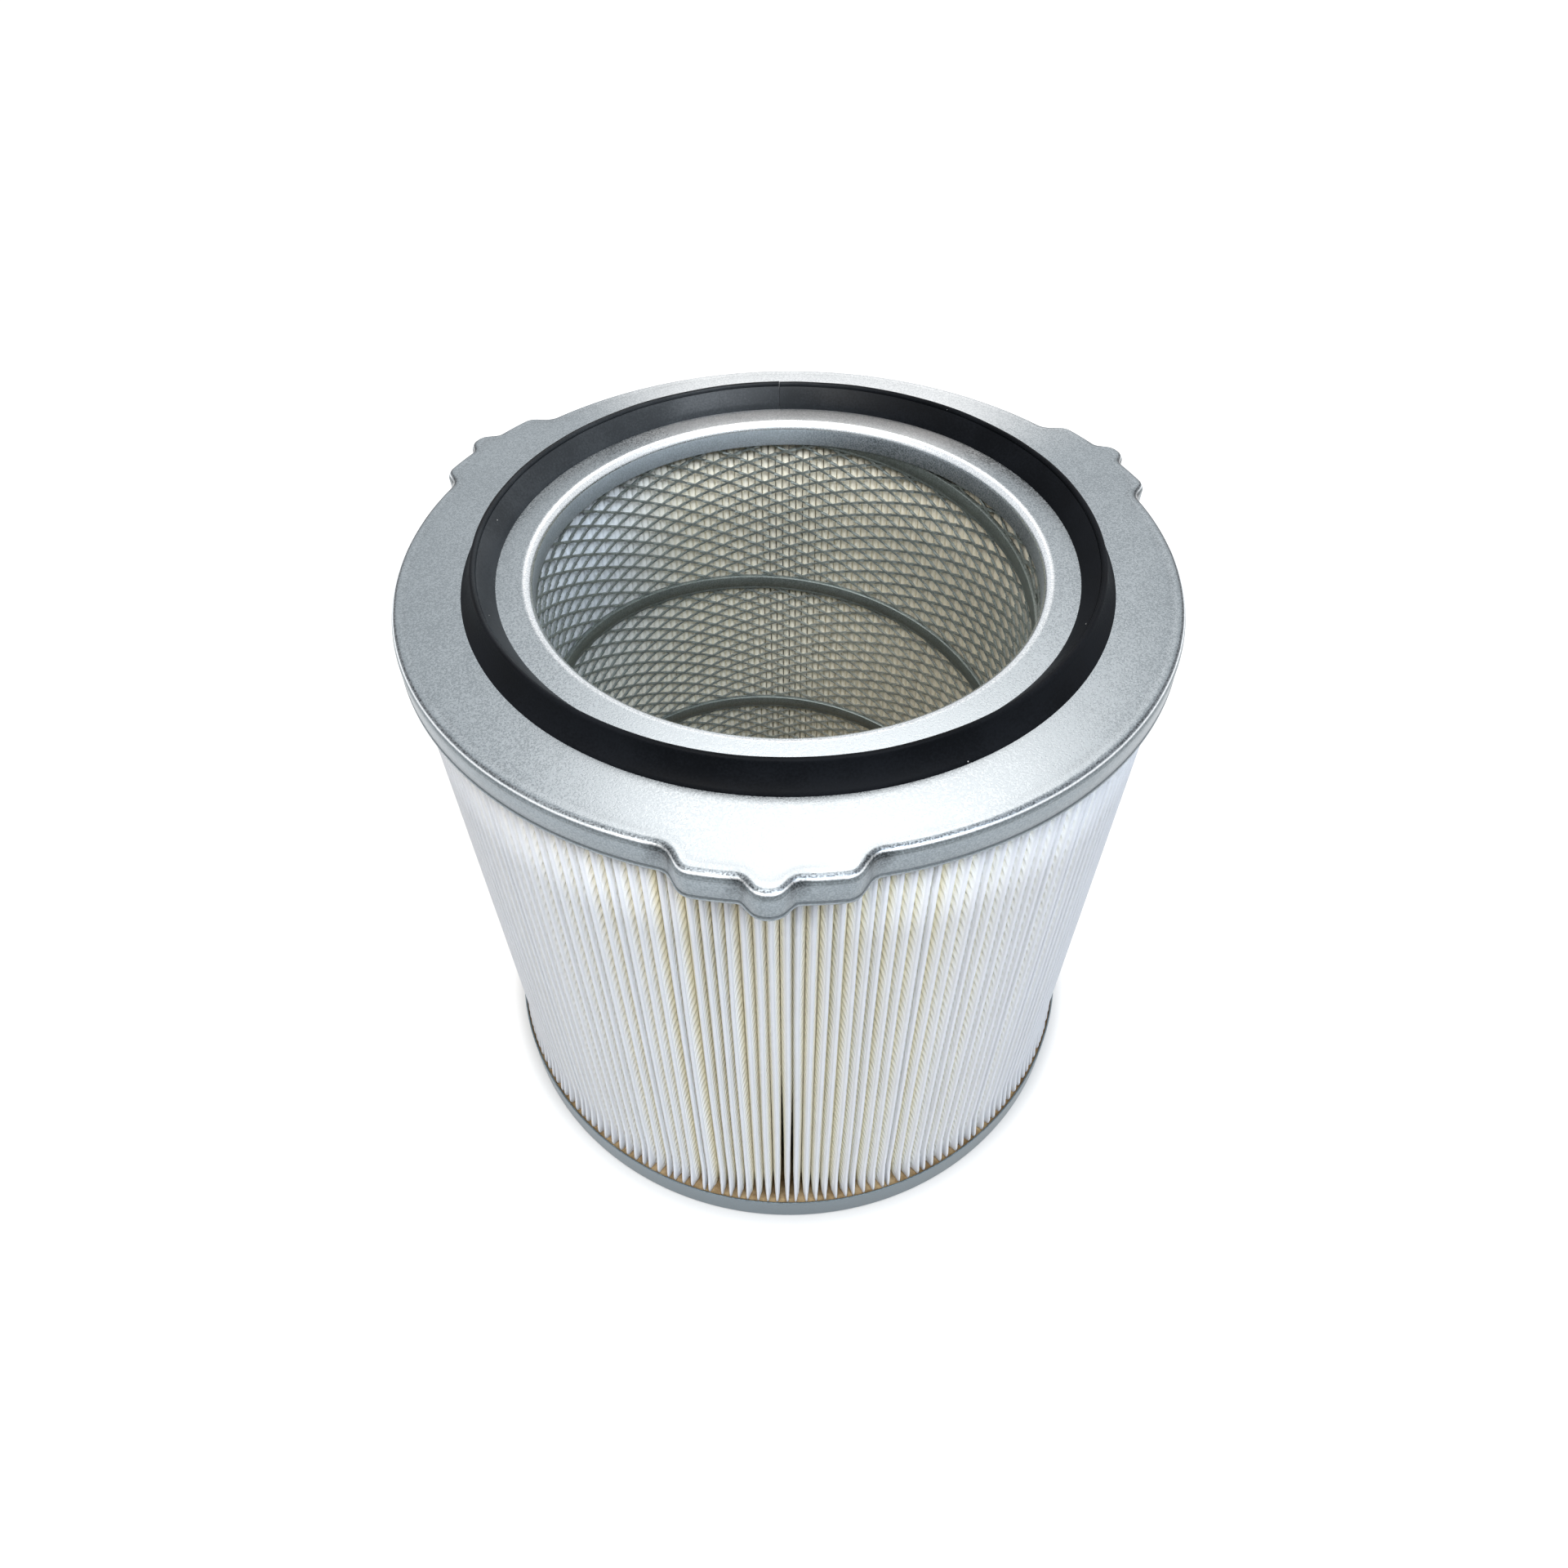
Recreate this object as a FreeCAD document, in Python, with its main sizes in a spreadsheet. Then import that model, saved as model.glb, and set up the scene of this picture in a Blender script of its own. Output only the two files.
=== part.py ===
import FreeCAD, Part
import Sketcher
import math
import os

# A pleated filter element: a closed pan at the foot, a folded filter sheet round a spiral tube of
# expanded metal, and a pressed flange with three lugs, an outlet bore and a rubber gasket on top.
# Millimetres. The origin is the centre of the pan's flat foot, +Z runs up the axis, one lug is at -Y.

doc = FreeCAD.newDocument("filter_element")

# Two points count as one when they are this close
SAME_PLACE = 1e-4

# Steps of two waves whose product sets the folds a little out of step, as hand-set pleats are
WANDER_WAVES = (2.4, 0.7)

# Driving dimensions
SIZES = {
    # height of the flange's face above the foot, and the play left between round neighbours
    "face_height": 309.0,
    "fit_gap": 0.2,
    # top flange, pressed from sheet
    "flange_radius": 163.5,
    "flange_sheet": 1.0,
    "skirt_depth": 13.5,
    "skirt_round": 3.2,
    "bore_radius": 107.0,
    "bore_round": 5.0,
    "collar_depth": 11.4,
    # lugs on the flange's outline: a wide step with a narrow nub in its middle
    "lug_count": 3,
    "lug_root_depth": 10.7,
    "lug_root_half": 38.4,
    "lug_rise": 8.5,
    "lug_half": 29.1,
    "lug_round": 5.0,
    "nub_rise": 6.0,
    "nub_foot_half": 9.3,
    "nub_top_half": 3.1,
    "nub_round": 4.4,
    # gasket: a wedge strip bent to a ring, its ends butted near the back
    "gasket_set": 14.5,
    "gasket_ridge_set": 6.1,
    "gasket_ridge_width": 2.6,
    "gasket_width": 14.3,
    "gasket_height": 10.6,
    "gasket_ridge_round": 1.0,
    "gasket_butt": 0.12,
    "gasket_butt_turn": 94.0,
    # inner core: expanded metal wound in a spiral, with a folded seam
    "core_sheet": 1.2,
    "core_seat": 7.0,
    "seam_pitch": 91.0,
    "seam_width": 8.0,
    "seam_stand": 0.7,
    "seam_start": 97.3,
    "mesh_columns": 8,
    "mesh_rows": 4,
    "mesh_row_step": 18.0,
    "mesh_strand": 5.0,
    "mesh_end_margin": 9.0,
    # folded filter sheet
    "pleat_count": 200,
    "pleat_tip_gap": 3.1,
    "pleat_root_gap": 0.6,
    "media_sheet": 0.7,
    "pleat_tip_half": 1.3,
    "pleat_valley_half": 0.35,
    "pleat_wander": 0.5,
    # cast potting that holds the sheet's ends
    "top_potting": 10.0,
    "potting_level": 15.0,
    "potting_round": 2.6,
    # bottom pan, its rim a little wider than the flange's skirt
    "pan_over": 0.1,
    "pan_sheet": 0.9,
    "pan_rim": 18.0,
    "pan_round": 3.0,
    "bead_inset": 17.2,
    "bead_half": 7.0,
    "bead_slope": 3.0,
    "bead_depth": 3.0,
}

sheet = doc.addObject("Spreadsheet::Sheet", "Sizes")
for row, (alias, value) in enumerate(SIZES.items(), start=1):
    sheet.set("A%d" % row, alias)
    sheet.set("B%d" % row, str(value))
    sheet.setAlias("B%d" % row, alias)
doc.recompute()

# Sizes that follow from the driving ones, as formulas on the sheet
FORMULAS = {
    "core_inner": "=bore_radius + flange_sheet + fit_gap",
    "core_outer": "=core_inner + core_sheet",
    "core_top": "=face_height - bore_round",
    "turns_below": "=ceil((seam_start - core_seat) / seam_pitch) + 1",
    "seam_turns": "=turns_below + ceil((core_top - seam_start) / seam_pitch) + 1",
    "seam_half_height": "=seam_width / 2 / cos(atan(seam_pitch / (2 * pi * core_inner)))",
    "lug_root_reach": "=flange_radius - lug_root_depth",
    "lug_radius": "=flange_radius + lug_rise",
    "nub_reach": "=lug_radius + nub_rise",
    "face_underside": "=face_height - flange_sheet",
    "pleat_top": "=face_underside - top_potting",
    "pleat_root": "=core_outer + seam_stand + pleat_root_gap",
    "pleat_radius": "=flange_radius - flange_sheet - pleat_tip_gap",
    "gasket_inner": "=bore_radius + gasket_set",
    "gasket_ridge_inner": "=gasket_inner + gasket_ridge_set",
    "gasket_outer": "=gasket_inner + gasket_width",
    "potting_inset": "=flange_sheet + fit_gap",
    "pan_radius": "=flange_radius + pan_over",
    "bead_radius": "=core_inner - bead_inset",
}
for row, (alias, formula) in enumerate(FORMULAS.items(), start=len(SIZES) + 2):
    sheet.set("A%d" % row, alias)
    sheet.set("B%d" % row, formula)
    sheet.setAlias("B%d" % row, alias)
doc.recompute()


def size(alias):
    return float(getattr(sheet, alias))


# Expressions name the sheet's cells as S.alias, which is written out when they are used
def cells(expression):
    return expression.replace("S.", "Sizes.")


def value_of(expression):
    result = sheet.evalExpression(cells(expression))
    return float(getattr(result, "Value", result))


def bind(obj, prop, expression):
    obj.setExpression(prop, cells(expression))


def new_body(label, lift="0", turn=0.0):
    body = doc.addObject("PartDesign::Body", label)
    body.Label = label
    body.Placement = FreeCAD.Placement(FreeCAD.Vector(0, 0, 0), FreeCAD.Rotation(turn, 0, 0))
    bind(body, "Placement.Base.z", lift)
    return body


def new_sketch(body, name, plane):
    sketch = body.newObject("Sketcher::SketchObject", name)
    origin_plane = next(f for f in body.Origin.OriginFeatures if f.Role == plane)
    sketch.AttachmentSupport = (origin_plane, "")
    sketch.MapMode = "FlatFace"
    return sketch


def add_line(sketch, start, end):
    a = FreeCAD.Vector(start[0], start[1], 0)
    b = FreeCAD.Vector(end[0], end[1], 0)
    return sketch.addGeometry(Part.LineSegment(a, b), False)


def add_arc(sketch, centre, radius, first, last):
    circle = Part.Circle(FreeCAD.Vector(centre[0], centre[1], 0), FreeCAD.Vector(0, 0, 1), radius)
    return sketch.addGeometry(Part.ArcOfCircle(circle, first, last), False)


def pin_point(sketch, geometry, end, x_expression, y_expression):
    for kind, expression in (("DistanceX", x_expression), ("DistanceY", y_expression)):
        if expression is None:
            continue
        number = value_of(expression)
        if expression == "0":
            line = -2 if kind == "DistanceX" else -1
            sketch.addConstraint(Sketcher.Constraint("PointOnObject", geometry, end, line))
            continue
        index = sketch.addConstraint(Sketcher.Constraint(kind, -1, 1, geometry, end, number))
        bind(sketch, "Constraints[%d]" % index, expression)


def closed_profile(sketch, corners):
    # straight-sided profile through corners given as pairs of expressions
    places = [(value_of(x), value_of(y)) for x, y in corners]
    count = len(corners)
    lines = [add_line(sketch, places[i], places[(i + 1) % count]) for i in range(count)]
    for i in range(count):
        sketch.addConstraint(Sketcher.Constraint("Coincident", lines[i], 2, lines[(i + 1) % count], 1))
    for i, (x, y) in enumerate(corners):
        pin_point(sketch, lines[i], 1, x, y)
    return lines


def revolve(body, sketch, name, kind="PartDesign::Revolution", angle="360"):
    feature = body.newObject(kind, name)
    feature.Profile = sketch
    feature.ReferenceAxis = (sketch, ["V_Axis"])
    bind(feature, "Angle", angle)
    doc.recompute()
    return feature


def edge_names(base, wanted):
    return ["Edge%d" % (i + 1) for i, edge in enumerate(base.Shape.Edges) if wanted(edge)]


def round_edges(body, base, name, radius, wanted):
    # fillet of every edge of base that wanted() picks
    feature = body.newObject("PartDesign::Fillet", name)
    feature.Base = (base, edge_names(base, wanted))
    bind(feature, "Radius", radius)
    doc.recompute()
    return feature


def bevel_edges(body, base, name, width, wanted):
    feature = body.newObject("PartDesign::Chamfer", name)
    feature.Base = (base, edge_names(base, wanted))
    bind(feature, "Size", width)
    doc.recompute()
    return feature


def same(first, second):
    return abs(first - second) < SAME_PLACE


def ring_edge(radius, height):
    # picks the full circle at this radius and height
    def wanted(edge):
        if not isinstance(edge.Curve, Part.Circle):
            return False
        return same(edge.Curve.Radius, radius) and same(edge.Curve.Center.z, height)
    return wanted


def is_upright(edge):
    # picks straight edges along Z
    if len(edge.Vertexes) != 2:
        return False
    a, b = (v.Point for v in edge.Vertexes)
    return same(a.x, b.x) and same(a.y, b.y)


def on_top(height):
    # picks the edges of the upper outline
    def wanted(edge):
        return all(same(v.Point.z, height) for v in edge.Vertexes) and not is_upright(edge)
    return wanted


# Lugged disc: a round pad with the flange's three lugs, used for the flange and for what fills it
def lugged_disc(body, prefix, inset, height):
    disc_sketch = new_sketch(body, prefix + "_disc_sketch", "XY_Plane")
    circle = disc_sketch.addGeometry(
        Part.Circle(FreeCAD.Vector(0, 0, 0), FreeCAD.Vector(0, 0, 1), value_of("S.flange_radius")), False)
    disc_sketch.addConstraint(Sketcher.Constraint("Coincident", circle, 3, -1, 1))
    outline = value_of("S.flange_radius - " + inset)
    index = disc_sketch.addConstraint(Sketcher.Constraint("Radius", circle, outline))
    bind(disc_sketch, "Constraints[%d]" % index, "S.flange_radius - " + inset)
    disc = body.newObject("PartDesign::Pad", prefix + "_disc")
    disc.Profile = disc_sketch
    bind(disc, "Length", height)
    doc.recompute()

    # one lug, drawn on the X axis: root, step, nub, and the same mirrored
    root_x = size("lug_root_reach")
    root_y = value_of("S.lug_root_half - " + inset)
    step = value_of("S.lug_radius - " + inset)
    step_y = value_of("S.lug_half - " + inset)
    foot_y = value_of("S.nub_foot_half - " + inset)
    top_x = value_of("S.nub_reach - " + inset)
    top_y = value_of("S.nub_top_half - " + inset)
    step_x = math.sqrt(step ** 2 - step_y ** 2)
    foot_x = math.sqrt(step ** 2 - foot_y ** 2)
    lug_sketch = new_sketch(body, prefix + "_lug_sketch", "XY_Plane")
    low_arc = (-math.asin(step_y / step), -math.asin(foot_y / step))
    high_arc = (math.asin(foot_y / step), math.asin(step_y / step))
    back = add_line(lug_sketch, (root_x, root_y), (root_x, -root_y))
    low_ramp = add_line(lug_sketch, (root_x, -root_y), (step_x, -step_y))
    low_step = add_arc(lug_sketch, (0, 0), step, *low_arc)
    low_side = add_line(lug_sketch, (foot_x, -foot_y), (top_x, -top_y))
    nub_top = add_line(lug_sketch, (top_x, -top_y), (top_x, top_y))
    high_side = add_line(lug_sketch, (top_x, top_y), (foot_x, foot_y))
    high_step = add_arc(lug_sketch, (0, 0), step, *high_arc)
    high_ramp = add_line(lug_sketch, (step_x, step_y), (root_x, root_y))
    joins = [(back, 2, low_ramp, 1), (low_ramp, 2, low_step, 1), (low_step, 2, low_side, 1),
             (low_side, 2, nub_top, 1), (nub_top, 2, high_side, 1), (high_side, 2, high_step, 1),
             (high_step, 2, high_ramp, 1), (high_ramp, 2, back, 1)]
    for join in joins:
        lug_sketch.addConstraint(Sketcher.Constraint("Coincident", *join))
    lug_sketch.addConstraint(Sketcher.Constraint("Coincident", high_step, 3, -1, 1))
    lug_sketch.addConstraint(Sketcher.Constraint("Equal", low_step, high_step))
    index = lug_sketch.addConstraint(Sketcher.Constraint("Radius", high_step, step))
    bind(lug_sketch, "Constraints[%d]" % index, "S.lug_radius - " + inset)
    pairs = [(back, 1, back, 2), (high_ramp, 1, low_ramp, 2), (high_side, 2, low_side, 1), (nub_top, 2, nub_top, 1)]
    for pair in pairs:
        lug_sketch.addConstraint(Sketcher.Constraint("Symmetric", *pair, -1))
    pin_point(lug_sketch, back, 1, "S.lug_root_reach", "S.lug_root_half - " + inset)
    pin_point(lug_sketch, high_ramp, 1, None, "S.lug_half - " + inset)
    pin_point(lug_sketch, high_side, 2, None, "S.nub_foot_half - " + inset)
    pin_point(lug_sketch, nub_top, 2, "S.nub_reach - " + inset, "S.nub_top_half - " + inset)
    lug = body.newObject("PartDesign::Pad", prefix + "_lug")
    lug.Profile = lug_sketch
    bind(lug, "Length", height)
    doc.recompute()
    lugs = body.newObject("PartDesign::PolarPattern", prefix + "_lugs")
    lugs.Originals = [lug]
    lugs.Axis = (disc_sketch, ["N_Axis"])
    lugs.Angle = 360
    bind(lugs, "Occurrences", "S.lug_count")
    body.Tip = lugs
    doc.recompute()

    # rounded corners of the outline, wide ones at the lugs and small ones at the nubs
    spacing = 2 * math.pi / size("lug_count")

    def on_outline(edge):
        point = edge.Vertexes[0].Point
        return is_upright(edge) and math.hypot(point.x, point.y) > outline - SAME_PLACE

    def near_nub(edge):
        point = edge.Vertexes[0].Point
        angle = math.atan2(point.y, point.x)
        off_middle = abs(angle - spacing * round(angle / spacing)) * step
        return on_outline(edge) and off_middle < (foot_y + step_y) / 2

    def near_lug(edge):
        return on_outline(edge) and not near_nub(edge)

    wide = round_edges(body, lugs, prefix + "_lug_corners", "S.lug_round", near_lug)
    return round_edges(body, wide, prefix + "_nub_corners", "S.nub_round", near_nub)


# Top flange: sheet drawn down into a skirt all round, its bore rolled into a collar
def make_top_flange():
    body = new_body("top_flange", "S.face_height - S.skirt_depth", turn=-90.0)
    blank = lugged_disc(body, "flange", "0", "S.skirt_depth")
    drawn = round_edges(body, blank, "flange_skirt_round", "S.skirt_round", on_top(size("skirt_depth")))
    shell = body.newObject("PartDesign::Thickness", "flange_sheet_wall")
    under = next("Face%d" % (i + 1) for i, face in enumerate(drawn.Shape.Faces)
                 if same(face.CenterOfMass.z, 0))
    shell.Base = (drawn, [under])
    shell.Reversed = True
    bind(shell, "Value", "S.flange_sheet")
    doc.recompute()

    hole_sketch = new_sketch(body, "bore_cut_sketch", "XZ_Plane")
    closed_profile(hole_sketch, [
        ("0", "S.skirt_depth - 2 * S.flange_sheet"),
        ("S.bore_radius + S.bore_round", "S.skirt_depth - 2 * S.flange_sheet"),
        ("S.bore_radius + S.bore_round", "S.skirt_depth + S.flange_sheet"),
        ("0", "S.skirt_depth + S.flange_sheet")])
    revolve(body, hole_sketch, "bore_cut", "PartDesign::Groove")

    collar_sketch = new_sketch(body, "collar_sketch", "XZ_Plane")
    bore = size("bore_radius")
    roll = size("bore_round")
    wall = size("flange_sheet")
    top = size("skirt_depth")
    low = top - size("collar_depth")
    centre = (bore + roll, top - roll)
    outer = add_arc(collar_sketch, centre, roll, math.pi / 2, math.pi)
    inner_wall = add_line(collar_sketch, (bore, top - roll), (bore, low))
    rim = add_line(collar_sketch, (bore, low), (bore + wall, low))
    outer_wall = add_line(collar_sketch, (bore + wall, low), (bore + wall, top - roll))
    inner = add_arc(collar_sketch, centre, roll - wall, math.pi / 2, math.pi)
    joint = add_line(collar_sketch, (bore + roll, top - wall), (bore + roll, top))
    joins = [(outer, 2, inner_wall, 1), (inner_wall, 2, rim, 1), (rim, 2, outer_wall, 1),
             (outer_wall, 2, inner, 2), (inner, 1, joint, 1), (joint, 2, outer, 1), (outer, 3, inner, 3)]
    for join in joins:
        collar_sketch.addConstraint(Sketcher.Constraint("Coincident", *join))
    pin_point(collar_sketch, outer, 3, "S.bore_radius + S.bore_round", "S.skirt_depth - S.bore_round")
    pin_point(collar_sketch, inner_wall, 1, "S.bore_radius", "S.skirt_depth - S.bore_round")
    pin_point(collar_sketch, rim, 1, "S.bore_radius", "S.skirt_depth - S.collar_depth")
    pin_point(collar_sketch, rim, 2, "S.bore_radius + S.flange_sheet", "S.skirt_depth - S.collar_depth")
    pin_point(collar_sketch, outer_wall, 2, "S.bore_radius + S.flange_sheet", "S.skirt_depth - S.bore_round")
    pin_point(collar_sketch, joint, 1, "S.bore_radius + S.bore_round", None)
    pin_point(collar_sketch, joint, 2, "S.bore_radius + S.bore_round", None)
    revolve(body, collar_sketch, "collar")
    return body


# Gasket: wedge strip with a narrow rounded ridge, its ends butted near the back
def make_gasket():
    body = new_body("gasket", "S.face_height", turn=size("gasket_butt_turn"))
    sketch = new_sketch(body, "gasket_sketch", "XZ_Plane")
    ridge_outer = "S.gasket_ridge_inner + S.gasket_ridge_width"
    closed_profile(sketch, [
        ("S.gasket_inner", "0"),
        ("S.gasket_outer", "0"),
        (ridge_outer, "S.gasket_height"),
        ("S.gasket_ridge_inner", "S.gasket_height")])
    ring = revolve(body, sketch, "gasket_ring", angle="360 - S.gasket_butt")
    height = size("gasket_height")

    def on_ridge(edge):
        flat = all(same(v.Point.z, height) for v in edge.Vertexes)
        return flat and isinstance(edge.Curve, Part.Circle)
    round_edges(body, ring, "gasket_ridge_round", "S.gasket_ridge_round", on_ridge)
    return body


# Top potting: fills the drawn flange round the core, lugs and all
def make_top_potting():
    body = new_body("top_potting", "S.pleat_top", turn=-90.0)
    filled = lugged_disc(body, "potting", "S.potting_inset", "S.top_potting")
    bevel_edges(body, filled, "potting_bevel", "S.potting_round", on_top(size("top_potting")))
    sketch = new_sketch(body, "potting_bore_sketch", "XZ_Plane")
    inner = "S.core_outer + S.seam_stand + S.fit_gap"
    shoulder = "S.top_potting - S.bore_round + S.flange_sheet"
    mouth = "S.bore_radius + S.bore_round + S.fit_gap"
    closed_profile(sketch, [
        ("0", "-1 * S.potting_round"),
        (inner, "-1 * S.potting_round"),
        (inner, shoulder),
        (mouth, "S.top_potting"),
        (mouth, "S.top_potting + S.potting_round"),
        ("0", "S.top_potting + S.potting_round")])
    revolve(body, sketch, "potting_bore", "PartDesign::Groove")
    return body


# Bottom pan: flat disc with an upright rim and one shallow stiffening bead
def make_bottom_cap():
    body = new_body("bottom_cap")
    sketch = new_sketch(body, "pan_sketch", "XZ_Plane")
    out_foot = "S.bead_radius + S.bead_half"
    in_foot = "S.bead_radius - S.bead_half"
    closed_profile(sketch, [
        ("0", "0"),
        (in_foot, "0"),
        (in_foot + " + S.bead_slope", "S.bead_depth"),
        (out_foot + " - S.bead_slope", "S.bead_depth"),
        (out_foot, "0"),
        ("S.pan_radius", "0"),
        ("S.pan_radius", "S.pan_rim"),
        ("S.pan_radius - S.pan_sheet", "S.pan_rim"),
        ("S.pan_radius - S.pan_sheet", "S.pan_sheet"),
        (out_foot, "S.pan_sheet"),
        (out_foot + " - S.bead_slope", "S.bead_depth + S.pan_sheet"),
        (in_foot + " + S.bead_slope", "S.bead_depth + S.pan_sheet"),
        (in_foot, "S.pan_sheet"),
        ("0", "S.pan_sheet")])
    pan = revolve(body, sketch, "pan")
    outside = round_edges(body, pan, "pan_round", "S.pan_round", ring_edge(size("pan_radius"), 0.0))
    inside = ring_edge(size("pan_radius") - size("pan_sheet"), size("pan_sheet"))
    round_edges(body, outside, "pan_inner_round", "S.pan_round - S.pan_sheet", inside)
    return body


# Bottom potting: a cast disc in the pan, with a slot that holds the core's foot
def make_bottom_potting():
    body = new_body("bottom_potting")
    sketch = new_sketch(body, "cast_sketch", "XZ_Plane")
    out_foot = "S.bead_radius + S.bead_half + S.fit_gap"
    in_foot = "S.bead_radius - S.bead_half - S.fit_gap"
    bead_top = "S.bead_depth + S.pan_sheet + S.fit_gap"
    edge = "S.pan_radius - S.pan_sheet - S.fit_gap"
    slot_in = "S.core_inner - S.seam_stand - S.fit_gap"
    slot_out = "S.core_outer + S.seam_stand + S.fit_gap"
    closed_profile(sketch, [
        ("0", "S.pan_sheet"),
        (in_foot, "S.pan_sheet"),
        (in_foot + " + S.bead_slope", bead_top),
        (out_foot + " - S.bead_slope", bead_top),
        (out_foot, "S.pan_sheet"),
        (edge + " - S.potting_round", "S.pan_sheet"),
        (edge, "S.pan_sheet + S.potting_round"),
        (edge, "S.potting_level"),
        (slot_out, "S.potting_level"),
        (slot_out, "S.core_seat"),
        (slot_in, "S.core_seat"),
        (slot_in, "S.potting_level"),
        ("0", "S.potting_level")])
    revolve(body, sketch, "cast_disc")
    return body


# Filter sheet: one strip folded into upright pleats and closed to a ring
def zigzag(tip_radius, root_radius, tip_half, root_half):
    # closed outline with a flat at every fold
    count = int(size("pleat_count"))
    step = 2 * math.pi / count
    points = []
    for i in range(count):
        wave = math.sin(WANDER_WAVES[0] * i) * math.cos(WANDER_WAVES[1] * i)
        drift = size("pleat_wander") / tip_radius * wave
        tip = i * step + drift
        root = (i + 0.5) * step
        folds = [(tip_radius, tip - tip_half / tip_radius), (tip_radius, tip + tip_half / tip_radius),
                 (root_radius, root - root_half / root_radius), (root_radius, root + root_half / root_radius)]
        points += [FreeCAD.Vector(r * math.cos(a), r * math.sin(a), 0) for r, a in folds]
    return Part.makePolygon(points + points[:1])


def make_pleats():
    sheet_wall = size("media_sheet")
    tip = size("pleat_radius")
    root = size("pleat_root")
    outside = zigzag(tip, root + sheet_wall, size("pleat_tip_half"), size("pleat_valley_half"))
    inside = zigzag(tip - sheet_wall, root, size("pleat_tip_half") - sheet_wall,
                    size("pleat_valley_half") + sheet_wall)
    section = doc.addObject("Part::Feature", "pleat_section")
    section.Shape = Part.makeFace([outside, inside], "Part::FaceMakerBullseye")
    pleats = doc.addObject("Part::Extrusion", "filter_pleats")
    pleats.Label = "filter_pleats"
    pleats.Base = section
    pleats.DirMode = "Custom"
    pleats.Dir = FreeCAD.Vector(0, 0, 1)
    pleats.Solid = True
    bind(pleats, "LengthFwd", "S.pleat_top - S.potting_level")
    bind(pleats, "Placement.Base.z", "S.potting_level")
    doc.recompute()
    return pleats


# Inner core: a tube wound from a strip of expanded metal, its edges folded into a spiral seam
def diamond(length, height, start, reach):
    # a long diamond that is pushed outward through the tube's wall
    corners = [(length / 2, 0), (0, height / 2), (-length / 2, 0), (0, -height / 2)]
    points = [FreeCAD.Vector(start, y, z) for y, z in corners]
    face = Part.Face(Part.makePolygon(points + points[:1]))
    return face.extrude(FreeCAD.Vector(reach - start, 0, 0))


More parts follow.
